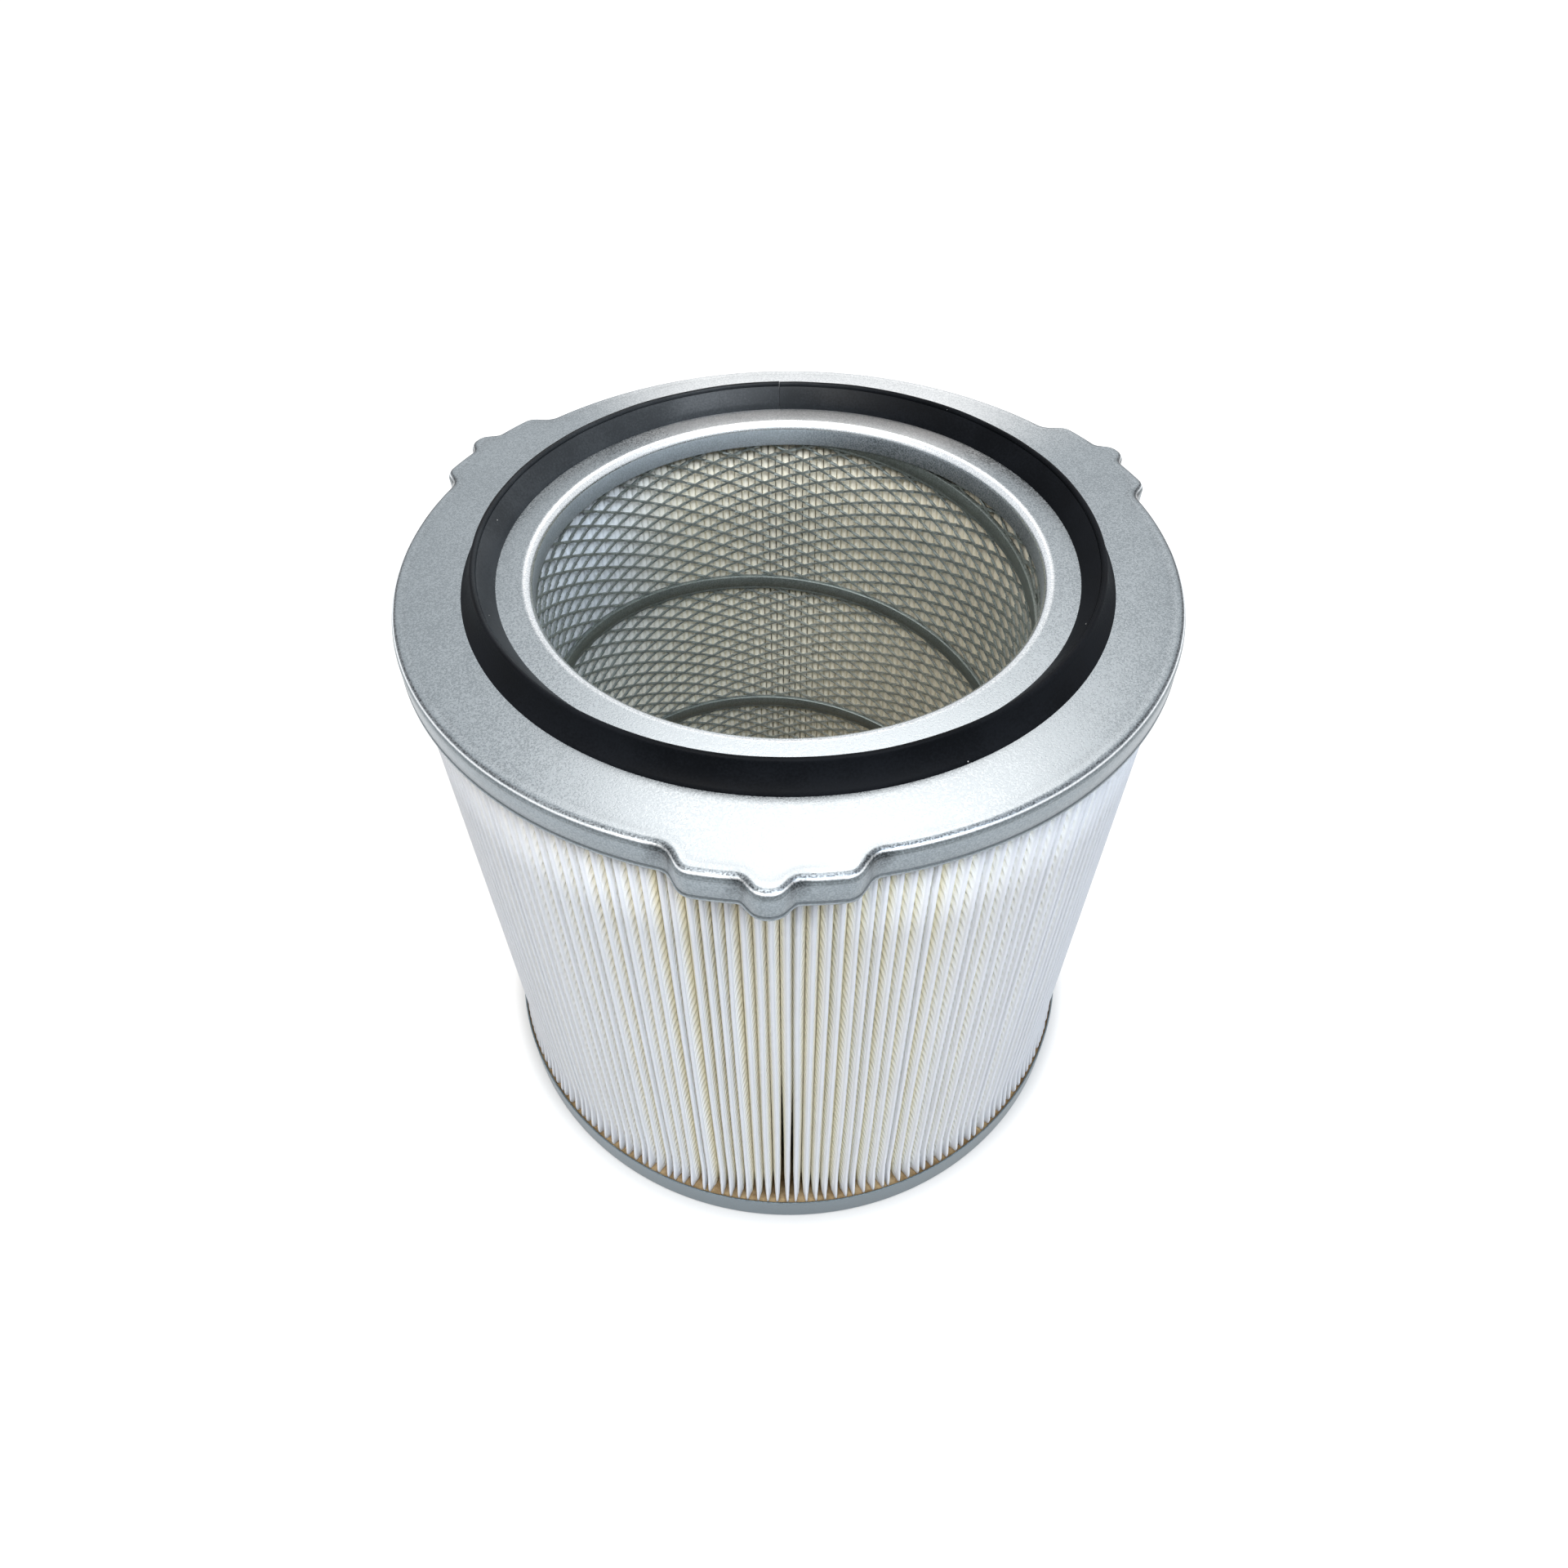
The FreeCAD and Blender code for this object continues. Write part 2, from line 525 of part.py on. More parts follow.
def make_inner_core():
    inner = size("core_inner")
    outer = size("core_outer")
    foot = size("core_seat")
    top = size("core_top")
    pitch = size("seam_pitch")
    start = size("seam_start")
    middle = (inner + outer) / 2
    lead = math.atan(pitch / (2 * math.pi * middle))

    tube = doc.addObject("Part::Cylinder", "core_tube_outside")
    bind(tube, "Radius", "S.core_outer")
    bind(tube, "Height", "S.core_top - S.core_seat")
    bind(tube, "Placement.Base.z", "S.core_seat")
    bore = doc.addObject("Part::Cylinder", "core_tube_inside")
    bind(bore, "Radius", "S.core_inner")
    bind(bore, "Height", "S.core_top - S.core_seat")
    bind(bore, "Placement.Base.z", "S.core_seat")
    wall = doc.addObject("Part::Cut", "core_wall")
    wall.Base = tube
    wall.Tool = bore
    doc.recompute()

    # seam: a flat band swept up the spiral, standing proud of the wall on both sides
    spiral = doc.addObject("Part::Helix", "seam_spiral")
    bind(spiral, "Pitch", "S.seam_pitch")
    bind(spiral, "Height", "S.seam_turns * S.seam_pitch")
    bind(spiral, "Radius", "S.core_inner")
    bind(spiral, "Placement.Base.z", "S.seam_start - S.turns_below * S.seam_pitch")
    band = doc.addObject("Sketcher::SketchObject", "seam_section")
    band.Placement = FreeCAD.Placement(FreeCAD.Vector(0, 0, 0), FreeCAD.Rotation(0, 0, 90))
    low = "S.seam_start - S.turns_below * S.seam_pitch - S.seam_half_height"
    high = "S.seam_start - S.turns_below * S.seam_pitch + S.seam_half_height"
    closed_profile(band, [
        ("S.core_inner - S.seam_stand", low),
        ("S.core_outer + S.seam_stand", low),
        ("S.core_outer + S.seam_stand", high),
        ("S.core_inner - S.seam_stand", high)])
    doc.recompute()
    seam = doc.addObject("Part::Sweep", "seam_band")
    seam.Sections = [band]
    seam.Spine = (spiral, ["Edge%d" % (i + 1) for i in range(len(spiral.Shape.Edges))])
    seam.Solid = True
    seam.Frenet = True
    trim = doc.addObject("Part::Cylinder", "seam_trim")
    bind(trim, "Radius", "S.core_outer + 2 * S.seam_stand")
    bind(trim, "Height", "S.core_top - S.core_seat")
    bind(trim, "Placement.Base.z", "S.core_seat")
    seated = doc.addObject("Part::Common", "seam_trimmed")
    seated.Base = seam
    seated.Tool = trim
    doc.recompute()

    # diamond gaps in staggered rows along the strip, clear of the seam and of the tube's ends
    columns = int(size("mesh_columns"))
    rows = int(size("mesh_rows"))
    row_step = size("mesh_row_step")
    strand = size("mesh_strand")
    column_step = 2 * math.pi / columns
    slope = math.atan2(2 * row_step, column_step * middle)
    length = column_step * middle - strand / math.sin(slope)
    height = 2 * row_step - strand / math.cos(slope)
    margin = size("mesh_end_margin")
    stand = size("seam_stand")
    short_of_wall = math.sqrt(inner ** 2 - (length / 2) ** 2) - stand
    gaps = []
    first = math.floor((foot - start) / pitch) - 1
    last = math.ceil((top - start) / pitch) + 1
    for turn in range(first, last):
        for column in range(columns):
            for row in range(rows):
                angle = (column + (row % 2) / 2) * column_step
                along = angle / (2 * math.pi)
                across = (row - (rows - 1) / 2) * row_step
                z = start + pitch * (turn + 0.5 + along) + across
                if z - height / 2 < foot + margin or z + height / 2 > top - margin:
                    continue
                gap = diamond(length, height, short_of_wall, outer + stand)
                gap.rotate(FreeCAD.Vector(0, 0, 0), FreeCAD.Vector(1, 0, 0), math.degrees(lead))
                gap.translate(FreeCAD.Vector(0, 0, z))
                gap.rotate(FreeCAD.Vector(0, 0, 0), FreeCAD.Vector(0, 0, 1), math.degrees(angle))
                gaps.append(gap)
    print("diamond gaps", len(gaps), "each %.1f by %.1f mm" % (length, height))
    punched = doc.addObject("Part::Feature", "mesh_gaps")
    punched.Shape = Part.makeCompound(gaps)
    mesh = doc.addObject("Part::Cut", "core_mesh")
    mesh.Base = wall
    mesh.Tool = punched
    core = doc.addObject("Part::Fuse", "inner_core")
    core.Label = "inner_core"
    core.Base = mesh
    core.Tool = seated
    doc.recompute()
    return core


PIECES = [
    make_top_flange(),
    make_gasket(),
    make_top_potting(),
    make_bottom_cap(),
    make_bottom_potting(),
    make_pleats(),
    make_inner_core(),
]
doc.recompute()

for obj in doc.Objects:
    if "Invalid" in obj.State or "Error" in obj.State:
        raise RuntimeError("failed object: " + obj.Name)

os.makedirs("parts", exist_ok=True)
for piece in PIECES:
    shape = piece.Shape
    if shape.isNull() or not shape.isValid() or not shape.Solids:
        raise RuntimeError("bad shape: " + piece.Label)
    box = shape.BoundBox
    print("%-16s solids %d  volume %.0f  z %.1f to %.1f" %
          (piece.Label, len(shape.Solids), shape.Volume, box.ZMin, box.ZMax))
    shape.exportStep("parts/%s.step" % piece.Label)
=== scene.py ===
import math

import bmesh
import bpy
import numpy as np
from mathutils import Matrix, Vector, noise


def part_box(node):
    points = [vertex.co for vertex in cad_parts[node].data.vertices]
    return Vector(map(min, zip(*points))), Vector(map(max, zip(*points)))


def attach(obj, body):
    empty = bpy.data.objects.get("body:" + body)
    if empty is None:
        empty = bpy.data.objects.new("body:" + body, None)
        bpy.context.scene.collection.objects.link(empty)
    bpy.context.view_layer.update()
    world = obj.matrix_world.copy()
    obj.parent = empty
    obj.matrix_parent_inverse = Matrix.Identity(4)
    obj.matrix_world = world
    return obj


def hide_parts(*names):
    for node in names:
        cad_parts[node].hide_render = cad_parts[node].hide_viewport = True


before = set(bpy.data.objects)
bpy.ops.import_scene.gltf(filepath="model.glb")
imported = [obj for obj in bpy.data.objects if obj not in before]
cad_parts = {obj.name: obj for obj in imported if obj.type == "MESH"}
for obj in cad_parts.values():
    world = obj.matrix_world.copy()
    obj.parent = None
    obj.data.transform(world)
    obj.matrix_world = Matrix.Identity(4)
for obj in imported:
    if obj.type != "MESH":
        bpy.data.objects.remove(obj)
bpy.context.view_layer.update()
mm = 0.001
wholeTurn = 2 * math.pi
print("frame loaded:", sorted(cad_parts))


# Objects and places
def addObject(name, data):
    made = bpy.data.objects.new(name, data)
    bpy.context.scene.collection.objects.link(made)
    return made


def meshObject(name, mesh):
    # bmesh to an object at the origin
    data = bpy.data.meshes.new(name)
    mesh.to_mesh(data)
    mesh.free()
    return addObject(name, data)


def onRing(radius, angle, z):
    return Vector((radius * math.cos(angle), radius * math.sin(angle), z))


# Camera: where the photo was taken from, found from the rings of the flange, the gasket and the pan
photo = {
    "place": (13.92 * mm, -370.49 * mm, 574.17 * mm),
    "turn": 2.5,          # degrees to the left of +Y
    "tilt": 42.13,        # degrees up from straight down
    "roll": -0.36,
    "lens": 24.24,
    "sensor": 36.0,
    "clipStart": 0.02,
}


def makeCamera():
    lens = bpy.data.cameras.new("photoCamera")
    lens.lens = photo["lens"]
    lens.sensor_width = photo["sensor"]
    lens.clip_start = photo["clipStart"]
    camera = addObject("photoCamera", lens)
    pose = Matrix.Translation(photo["place"])
    for key, axis in (("turn", "Z"), ("tilt", "X"), ("roll", "Z")):
        pose = pose @ Matrix.Rotation(math.radians(photo[key]), 4, axis)
    camera.matrix_world = pose
    bpy.context.scene.camera = camera


makeCamera()
print("camera set")


# Small helpers for node trees, used for materials and for geometry alike
def feed(tree, socket, value):
    if isinstance(value, bpy.types.NodeSocket):
        tree.links.new(value, socket)
    else:
        socket.default_value = value


def feedAll(tree, node, feeds):
    for key, value in feeds.items():
        feed(tree, node.inputs[key], value)


def addNode(tree, kind, feeds=None, **settings):
    node = tree.nodes.new(kind)
    for key, value in settings.items():
        setattr(node, key, value)
    feedAll(tree, node, feeds or {})
    return node


def calc(tree, operation, *values):
    return addNode(tree, "ShaderNodeMath", dict(enumerate(values)), operation=operation).outputs[0]


def chain(tree, operation, values):
    total = values[0]
    for value in values[1:]:
        total = calc(tree, operation, total, value)
    return total


def plus(tree, *values):
    return chain(tree, "ADD", values)


def times(tree, *values):
    return chain(tree, "MULTIPLY", values)


def minus(tree, first, second):
    return calc(tree, "SUBTRACT", first, second)


def ratio(tree, first, second):
    return calc(tree, "DIVIDE", first, second)


def gapTo(tree, value, middle):
    return calc(tree, "ABSOLUTE", minus(tree, value, middle))


def splitXYZ(tree, vector):
    return addNode(tree, "ShaderNodeSeparateXYZ", {0: vector}).outputs


def joinXYZ(tree, *values):
    return addNode(tree, "ShaderNodeCombineXYZ", dict(enumerate(values))).outputs[0]


def radiusOf(tree, x, y):
    return calc(tree, "SQRT", plus(tree, times(tree, x, x), times(tree, y, y)))


def mixColours(tree, factor, first, second):
    # sockets 6 and 7 are the colours of a mix node
    feeds = {"Factor": factor}
    for key, colour in ((6, first), (7, second)):
        feeds[key] = colour if isinstance(colour, bpy.types.NodeSocket) else (*colour, 1.0)
    return addNode(tree, "ShaderNodeMix", feeds, data_type="RGBA").outputs[2]


def spread(tree, value, low, high, toLow=0.0, toHigh=1.0):
    # smooth step between two values of the input
    feeds = {"Value": value, "From Min": low, "From Max": high, "To Min": toLow, "To Max": toHigh}
    return addNode(tree, "ShaderNodeMapRange", feeds, interpolation_type="SMOOTHSTEP").outputs["Result"]


def addSockets(tree, inputs, outputs):
    for way, rows in (("INPUT", inputs), ("OUTPUT", outputs)):
        for name, kind in rows:
            tree.interface.new_socket(name=name, in_out=way, socket_type="NodeSocket" + kind)
    return tree.nodes.new("NodeGroupInput").outputs, tree.nodes.new("NodeGroupOutput").inputs


def startGroup(name, inputs, outputs):
    # shader group that takes a place and plain numbers, and gives numbers
    tree = bpy.data.node_groups.new(name, "ShaderNodeTree")
    rows = [("Vector", "Vector")] + [(key, "Float") for key in inputs]
    given, result = addSockets(tree, rows, [(key, "Float") for key in outputs])
    return tree, given, result


# Shared effects
def makeGrainGroup():
    # fine mottling of a sheet or skin: a coarse cloud and a fine grain, mixed
    tree, given, result = startGroup("sheetGrain", ("Cloud size", "Grain size", "Grain share"),
                                     ("Mask", "Height"))
    layers = []
    for name, detail in (("Cloud size", 3.0), ("Grain size", 2.0)):
        feeds = {"Vector": given["Vector"], "Scale": ratio(tree, 1.0, given[name]), "Detail": detail}
        layers.append(addNode(tree, "ShaderNodeTexNoise", feeds).outputs["Fac"])
    share = given["Grain share"]
    both = plus(tree, times(tree, layers[0], minus(tree, 1.0, share)), times(tree, layers[1], share))
    feed(tree, result["Mask"], spread(tree, both, 0.35, 0.65))
    feed(tree, result["Height"], layers[1])
    return tree


def makeSpeckGroup():
    # sparse round specks of dust or soil
    tree, given, result = startGroup("dustSpecks", ("Spacing", "Speck size", "Share of cells"), ("Mask",))
    feeds = {"Vector": given["Vector"], "Scale": ratio(tree, 1.0, given["Spacing"])}
    cells = addNode(tree, "ShaderNodeTexVoronoi", feeds).outputs
    reach = ratio(tree, given["Speck size"], given["Spacing"])
    inside = calc(tree, "LESS_THAN", cells["Distance"], reach)
    chosen = addNode(tree, "ShaderNodeSeparateColor", {0: cells["Color"]}).outputs[0]
    picked = calc(tree, "LESS_THAN", chosen, given["Share of cells"])
    feed(tree, result["Mask"], times(tree, inside, picked))
    return tree


def makeRingGroup():
    # distance from the axis, angle round it in turns, and height, from a place on the object
    tree, given, result = startGroup("aroundAxis", (), ("Radius", "Turn", "Height"))
    x, y, z = splitXYZ(tree, given["Vector"])
    feed(tree, result["Radius"], radiusOf(tree, x, y))
    feed(tree, result["Turn"], ratio(tree, calc(tree, "ARCTAN2", y, x), wholeTurn))
    feed(tree, result["Height"], z)
    return tree


grainGroup = makeGrainGroup()
speckGroup = makeSpeckGroup()
ringGroup = makeRingGroup()


def placeGroup(tree, group, vector, **values):
    # a value called cloudSize goes to the input "Cloud size"
    node = addNode(tree, "ShaderNodeGroup", node_tree=group)
    feed(tree, node.inputs["Vector"], vector)
    for key, value in values.items():
        words = "".join(" " + letter.lower() if letter.isupper() else letter for letter in key)
        feed(tree, node.inputs[words[0].upper() + words[1:]], value)
    return node.outputs


def startMaterial(name, metallic, roughness):
    material = bpy.data.materials.new(name)
    material.use_nodes = True
    tree = material.node_tree
    shader = tree.nodes["Principled BSDF"]
    feedAll(tree, shader, {"Metallic": metallic, "Roughness": roughness})
    place = addNode(tree, "ShaderNodeTexCoord").outputs["Object"]
    return material, tree, shader, place


def addBump(tree, shader, height, distance, strength):
    bump = addNode(tree, "ShaderNodeBump", {"Strength": strength, "Distance": distance, "Height": height})
    feed(tree, shader.inputs["Normal"], bump.outputs["Normal"])


# Sheet steel: a fine mottling, a satin gloss that varies a little, a few soil specks, and painted shade in
# grooves and inner corners
steelLook = {
    "grain": {"cloudSize": 0.02, "grainSize": 0.0007, "grainShare": 0.85},
    "glossRange": (-0.05, 0.06),      # of the roughness
    "soil": {"spacing": 0.03, "speckSize": 0.00045},
    "soilColour": (0.03, 0.03, 0.03),
    "grooveShadeEdge": 0.3,
    "grooveShadeColour": (0.05, 0.06, 0.065),
    "cornerShadeColour": (0.015, 0.017, 0.019),
    "cornerShadeRange": (1.0, 0.7),
    "bump": (0.00012, 0.25),
}


def zone(heights, radii, soft, dark, light, metal=1.0, roughness=0.3, turns=None):
    # also used for painted highlights and shade on the flange
    # part of a sheet with another finish. soft is half the width of its border, and turns says where it
    # lies round the axis: its middle, and how far from there it begins and is full
    return {"Height": heights, "Radius": radii, "soft": soft, "dark": dark, "light": light, "metal": metal,
            "roughness": roughness, "turns": turns}


def makeSteel(name, dark, light, roughness, specks, metallic=1.0, grooves=(), zones=(), corners=False):
    material, tree, shader, place = startMaterial(name, metallic, roughness)
    grain = placeGroup(tree, grainGroup, place, **steelLook["grain"])
    around = placeGroup(tree, ringGroup, place)
    mask = grain["Mask"]
    colour = mixColours(tree, mask, dark, light)
    gloss = spread(tree, mask, 0.0, 1.0, *(roughness + change for change in steelLook["glossRange"]))
    metal = metallic
    for part in zones:
        inside = 1.0
        if part["turns"]:
            middle, begins, full = part["turns"]
            inside = spread(tree, gapTo(tree, around["Turn"], middle), begins, full)
        for key in ("Height", "Radius"):
            least, most = part[key]
            soft = part["soft"]
            inside = times(tree, inside, spread(tree, around[key], least - soft, least + soft),
                           spread(tree, around[key], most + soft, most - soft))
        colour = mixColours(tree, inside, colour, mixColours(tree, mask, part["dark"], part["light"]))
        gloss = spread(tree, inside, 0.0, 1.0, gloss, part["roughness"])
        metal = spread(tree, inside, 0.0, 1.0, metal, part["metal"])
    soil = placeGroup(tree, speckGroup, place, shareOfCells=specks, **steelLook["soil"])
    colour = mixColours(tree, soil["Mask"], colour, steelLook["soilColour"])
    # painted shade: dark lines along the grooves of the sheet
    for middle, half, share in grooves:
        away = gapTo(tree, around["Height"], middle)
        grooveShade = times(tree, spread(tree, away, half, half * steelLook["grooveShadeEdge"]), share)
        colour = mixColours(tree, grooveShade, colour, steelLook["grooveShadeColour"])
    if corners:
        # painted shade, soot-dark, in the inner corners of the lugs
        pressed = addNode(tree, "ShaderNodeAttribute", attribute_name="pressed").outputs["Fac"]
        ragged = times(tree, pressed, spread(tree, mask, 0.0, 1.0, *steelLook["cornerShadeRange"]))
        colour = mixColours(tree, ragged, colour, steelLook["cornerShadeColour"])
    feedAll(tree, shader, {"Base Color": colour, "Roughness": gloss, "Metallic": metal})
    addBump(tree, shader, grain["Height"], *steelLook["bump"])
    return material


# Rubber: near black with a dull skin, finely pitted, with pale dust specks, and a painted reflection on its
# inner face round the left
rubberLook = {
    "dark": (0.0025, 0.003, 0.004),
    "light": (0.006, 0.007, 0.009),
    "grain": {"cloudSize": 0.03, "grainSize": 0.0009, "grainShare": 0.4},
    "roughness": (0.42, 0.58),
    "specular": 0.04,
    "reflectionTurn": 0.44,                       # where the painted reflection is strongest, in turns from +X
    "reflectionReach": (0.27, 0.1),               # where it begins and is full, in turns from there
    "reflectionInward": (0.6 * mm, -1.8 * mm),    # the same in radius, from the gasket's ridge
    "paintedReflectionColour": (0.035, 0.04, 0.045),
    "reflectionLeast": 0.65,
    "reflectionCoat": 0.3,
    "coatRoughness": 0.25,
    "dust": {"spacing": 0.006, "speckSize": 0.00022, "shareOfCells": 0.25},
    "dustColour": (0.45, 0.45, 0.44),
    "bump": (0.0001, 0.5),
}


def makeRubber():
    look = rubberLook
    material, tree, shader, place = startMaterial("blackRubber", 0.0, 0.5)
    grain = placeGroup(tree, grainGroup, place, **look["grain"])
    colour = mixColours(tree, grain["Mask"], look["dark"], look["light"])
    # painted reflection: the inner face is painted greyer round the left, with a glossier coat there
    around = placeGroup(tree, ringGroup, place)
    fromLeft = gapTo(tree, around["Turn"], look["reflectionTurn"])
    fromLeft = calc(tree, "MINIMUM", fromLeft, minus(tree, 1.0, fromLeft))
    begins, full = (gasket["ridge"] + way for way in look["reflectionInward"])
    paintedReflection = times(tree, spread(tree, fromLeft, *look["reflectionReach"]),
                   spread(tree, around["Radius"], begins, full),
                   spread(tree, grain["Mask"], 0.0, 1.0, look["reflectionLeast"], 1.0))
    colour = mixColours(tree, paintedReflection, colour, look["paintedReflectionColour"])
    dust = placeGroup(tree, speckGroup, place, **look["dust"])
    feedAll(tree, shader, {
        "Base Color": mixColours(tree, dust["Mask"], colour, look["dustColour"]),
        "Roughness": spread(tree, grain["Mask"], 0.0, 1.0, *look["roughness"]),
        "Specular IOR Level": look["specular"],
        "Coat Weight": times(tree, paintedReflection, look["reflectionCoat"]),
        "Coat Roughness": look["coatRoughness"],
    })
    addBump(tree, shader, grain["Height"], *look["bump"])
    return material


# Filter media: white at the folds, its tips painted darker and bluer as painted shade, cream in the depth as
# painted scattered light, with slanted dimples pressed into its flanks
mediaLook = {
    # painted shade: the tips are darker and bluer than the flanks; painted light: the depth is cream and
    # brighter, for light scattered in the gaps
    "tip": (0.725, 0.75, 0.8),
    "flank": (0.88, 0.9, 0.92),
    "depth": (0.96, 0.91, 0.71),
    "inside": (0.97, 0.925, 0.78),
    "insideSidesLight": (0.9, 0.95, 1.0),
    "trough": (0.74, 0.69, 0.58),
    "shade": (0.6, 0.58, 0.55),
    # inward from the tips, and then outward from the roots: where a colour or the ribs begin and are full
    "flankFrom": (0.4 * mm, 1.3 * mm),
    "depthFrom": (1.6 * mm, 4.5 * mm),
    "ribFrom": (0.6 * mm, 2.8 * mm),
    "insideFrom": (8.0 * mm, 1.0 * mm),
    "ribUntil": (2.0 * mm, 6.0 * mm),
    # painted light: the bluish sides of the inside: how far the cosine of the turn is from the middle, and
    # their heights
    "sidesMiddle": 0.2,
    "sidesReach": (0.65, 1.1),
    "sidesHeight": (0.15, 0.26, 0.15, 1.0),
    "grain": {"cloudSize": 0.04, "grainSize": 0.0006, "grainShare": 0.5},
    "grainTone": 0.1,
    "grainRelief": 0.25,
    "ribStep": 6.0 * mm,        # upright distance between two slanting ribs
    "ribSlant": 1.7,            # how far a rib climbs for each step inward
    "ribEdge": (-0.7, 0.8),
    "troughShadeShare": 0.3,
    "bump": (0.0006, 0.8),
    "sheen": 0.15,
}


def makeMedia(tipRadius, rootRadius):
    look = mediaLook
    material, tree, shader, place = startMaterial("filterMedia", 0.0, 0.85)
    around = placeGroup(tree, ringGroup, place)
    radius = around["Radius"]
    height = around["Height"]

    def inward(key):
        return spread(tree, radius, *(tipRadius - way for way in look[key]))

    def outward(key):
        return spread(tree, radius, *(rootRadius + way for way in look[key]))

    # painted shade on the tips, painted scattered light in the depth
    colour = mixColours(tree, inward("flankFrom"), look["tip"], look["flank"])
    colour = mixColours(tree, inward("depthFrom"), colour, look["depth"])
    # painted light: a bluish tint on the sides of the inside
    sideways = calc(tree, "COSINE", times(tree, around["Turn"], wholeTurn))
    atSides = times(tree, spread(tree, gapTo(tree, sideways, look["sidesMiddle"]), *look["sidesReach"]),
                    spread(tree, height, *look["sidesHeight"]))
    inside = mixColours(tree, atSides, look["inside"], look["insideSidesLight"])
    colour = mixColours(tree, outward("insideFrom"), colour, inside)
    grain = placeGroup(tree, grainGroup, place, **look["grain"])
    soft = mixColours(tree, times(tree, grain["Mask"], look["grainTone"]), colour, look["shade"])
    slanted = plus(tree, height, times(tree, radius, look["ribSlant"]))
    wave = calc(tree, "SINE", times(tree, slanted, wholeTurn / look["ribStep"]))
    onFlank = times(tree, inward("ribFrom"), outward("ribUntil"))
    rib = times(tree, spread(tree, wave, *look["ribEdge"]), onFlank)
    # painted shade in the troughs between the slanted ribs
    dim = times(tree, minus(tree, onFlank, rib), look["troughShadeShare"])
    feed(tree, shader.inputs["Base Color"], mixColours(tree, dim, soft, look["trough"]))
    feed(tree, shader.inputs["Sheen Weight"], look["sheen"])
    relief = plus(tree, rib, times(tree, grain["Height"], look["grainRelief"]))
    addBump(tree, shader, relief, *look["bump"])
    return material


# Cast resin: amber, a little glossy, cloudier in places
resinLook = {
    "dark": (0.2, 0.13, 0.06),
    "light": (0.36, 0.26, 0.14),
    "grain": {"cloudSize": 0.012, "grainSize": 0.002, "grainShare": 0.4},
    "roughness": (0.35, 0.55),
    "bump": (0.0005, 0.5),
}


def makeResin():
    look = resinLook
    material, tree, shader, place = startMaterial("amberResin", 0.0, look["roughness"][0])
    grain = placeGroup(tree, grainGroup, place, **look["grain"])
    feed(tree, shader.inputs["Base Color"], mixColours(tree, grain["Mask"], look["dark"], look["light"]))
    feed(tree, shader.inputs["Roughness"], spread(tree, grain["Mask"], 0.0, 1.0, *look["roughness"]))
    addBump(tree, shader, grain["Height"], *look["bump"])
    return material


# Shape helpers
def finishMesh(name, mesh, material, sharpAngle):
    # bmesh to an object, normals outward, smooth but for its edges
    bmesh.ops.remove_doubles(mesh, verts=mesh.verts, dist=1e-7)
    bmesh.ops.dissolve_degenerate(mesh, dist=1e-8, edges=mesh.edges)
    bmesh.ops.recalc_face_normals(mesh, faces=mesh.faces)
    piece = meshObject(name, mesh)
    data = piece.data
    data.polygons.foreach_set("use_smooth", [True] * len(data.polygons))
    data.set_sharp_from_angle(angle=math.radians(sharpAngle))
    data.materials.append(material)
    return piece


def skin(rows, closedRow=True, closedRows=True, capEnds=False):
    # quads between neighbouring rows of points, which all have as many points
    mesh = bmesh.new()
    verts = [[mesh.verts.new(point) for point in row] for row in rows]
    count = len(rows[0])
    for i in range(len(rows) if closedRows else len(rows) - 1):
        one, two = verts[i], verts[(i + 1) % len(rows)]
        for k in range(count if closedRow else count - 1):
            mesh.faces.new((one[k], one[(k + 1) % count], two[(k + 1) % count], two[k]))
    if capEnds:
        mesh.faces.new(verts[0])
        mesh.faces.new(list(reversed(verts[-1])))
    return mesh


def lathe(profile, segments, nudge):
    # profile of (radius, height), both ends on the axis; nudge(radius, height, angle) may move a point
    mesh = bmesh.new()
    rings = []
    for radius, height in profile:
        if radius == 0:
            rings.append([mesh.verts.new((0, 0, height))])
            continue
        ring = []
        for i in range(segments):
            angle = wholeTurn * i / segments
            r, z = nudge(radius, height, angle)
            ring.append(mesh.verts.new(onRing(r, angle, z)))
        rings.append(ring)
    for one, two in zip(rings, rings[1:]):
        for k in range(segments):
            n = (k + 1) % segments
            if len(one) == 1:
                mesh.faces.new((one[0], two[k], two[n]))
            elif len(two) == 1:
                mesh.faces.new((one[k], one[n], two[0]))
            else:
                mesh.faces.new((one[k], one[n], two[n], two[k]))
    return mesh


def arcPoints(centre, radius, first, last, steps):
    # points on an arc, angles in degrees
    points = []
    for i in range(steps + 1):
        a = math.radians(first + (last - first) * i / steps)
        points.append((centre[0] + radius * math.cos(a), centre[1] + radius * math.sin(a)))
    return points


socketKinds = ((int, "Int"), (float, "Float"), (bpy.types.Object, "Object"), (bpy.types.Material, "Material"))


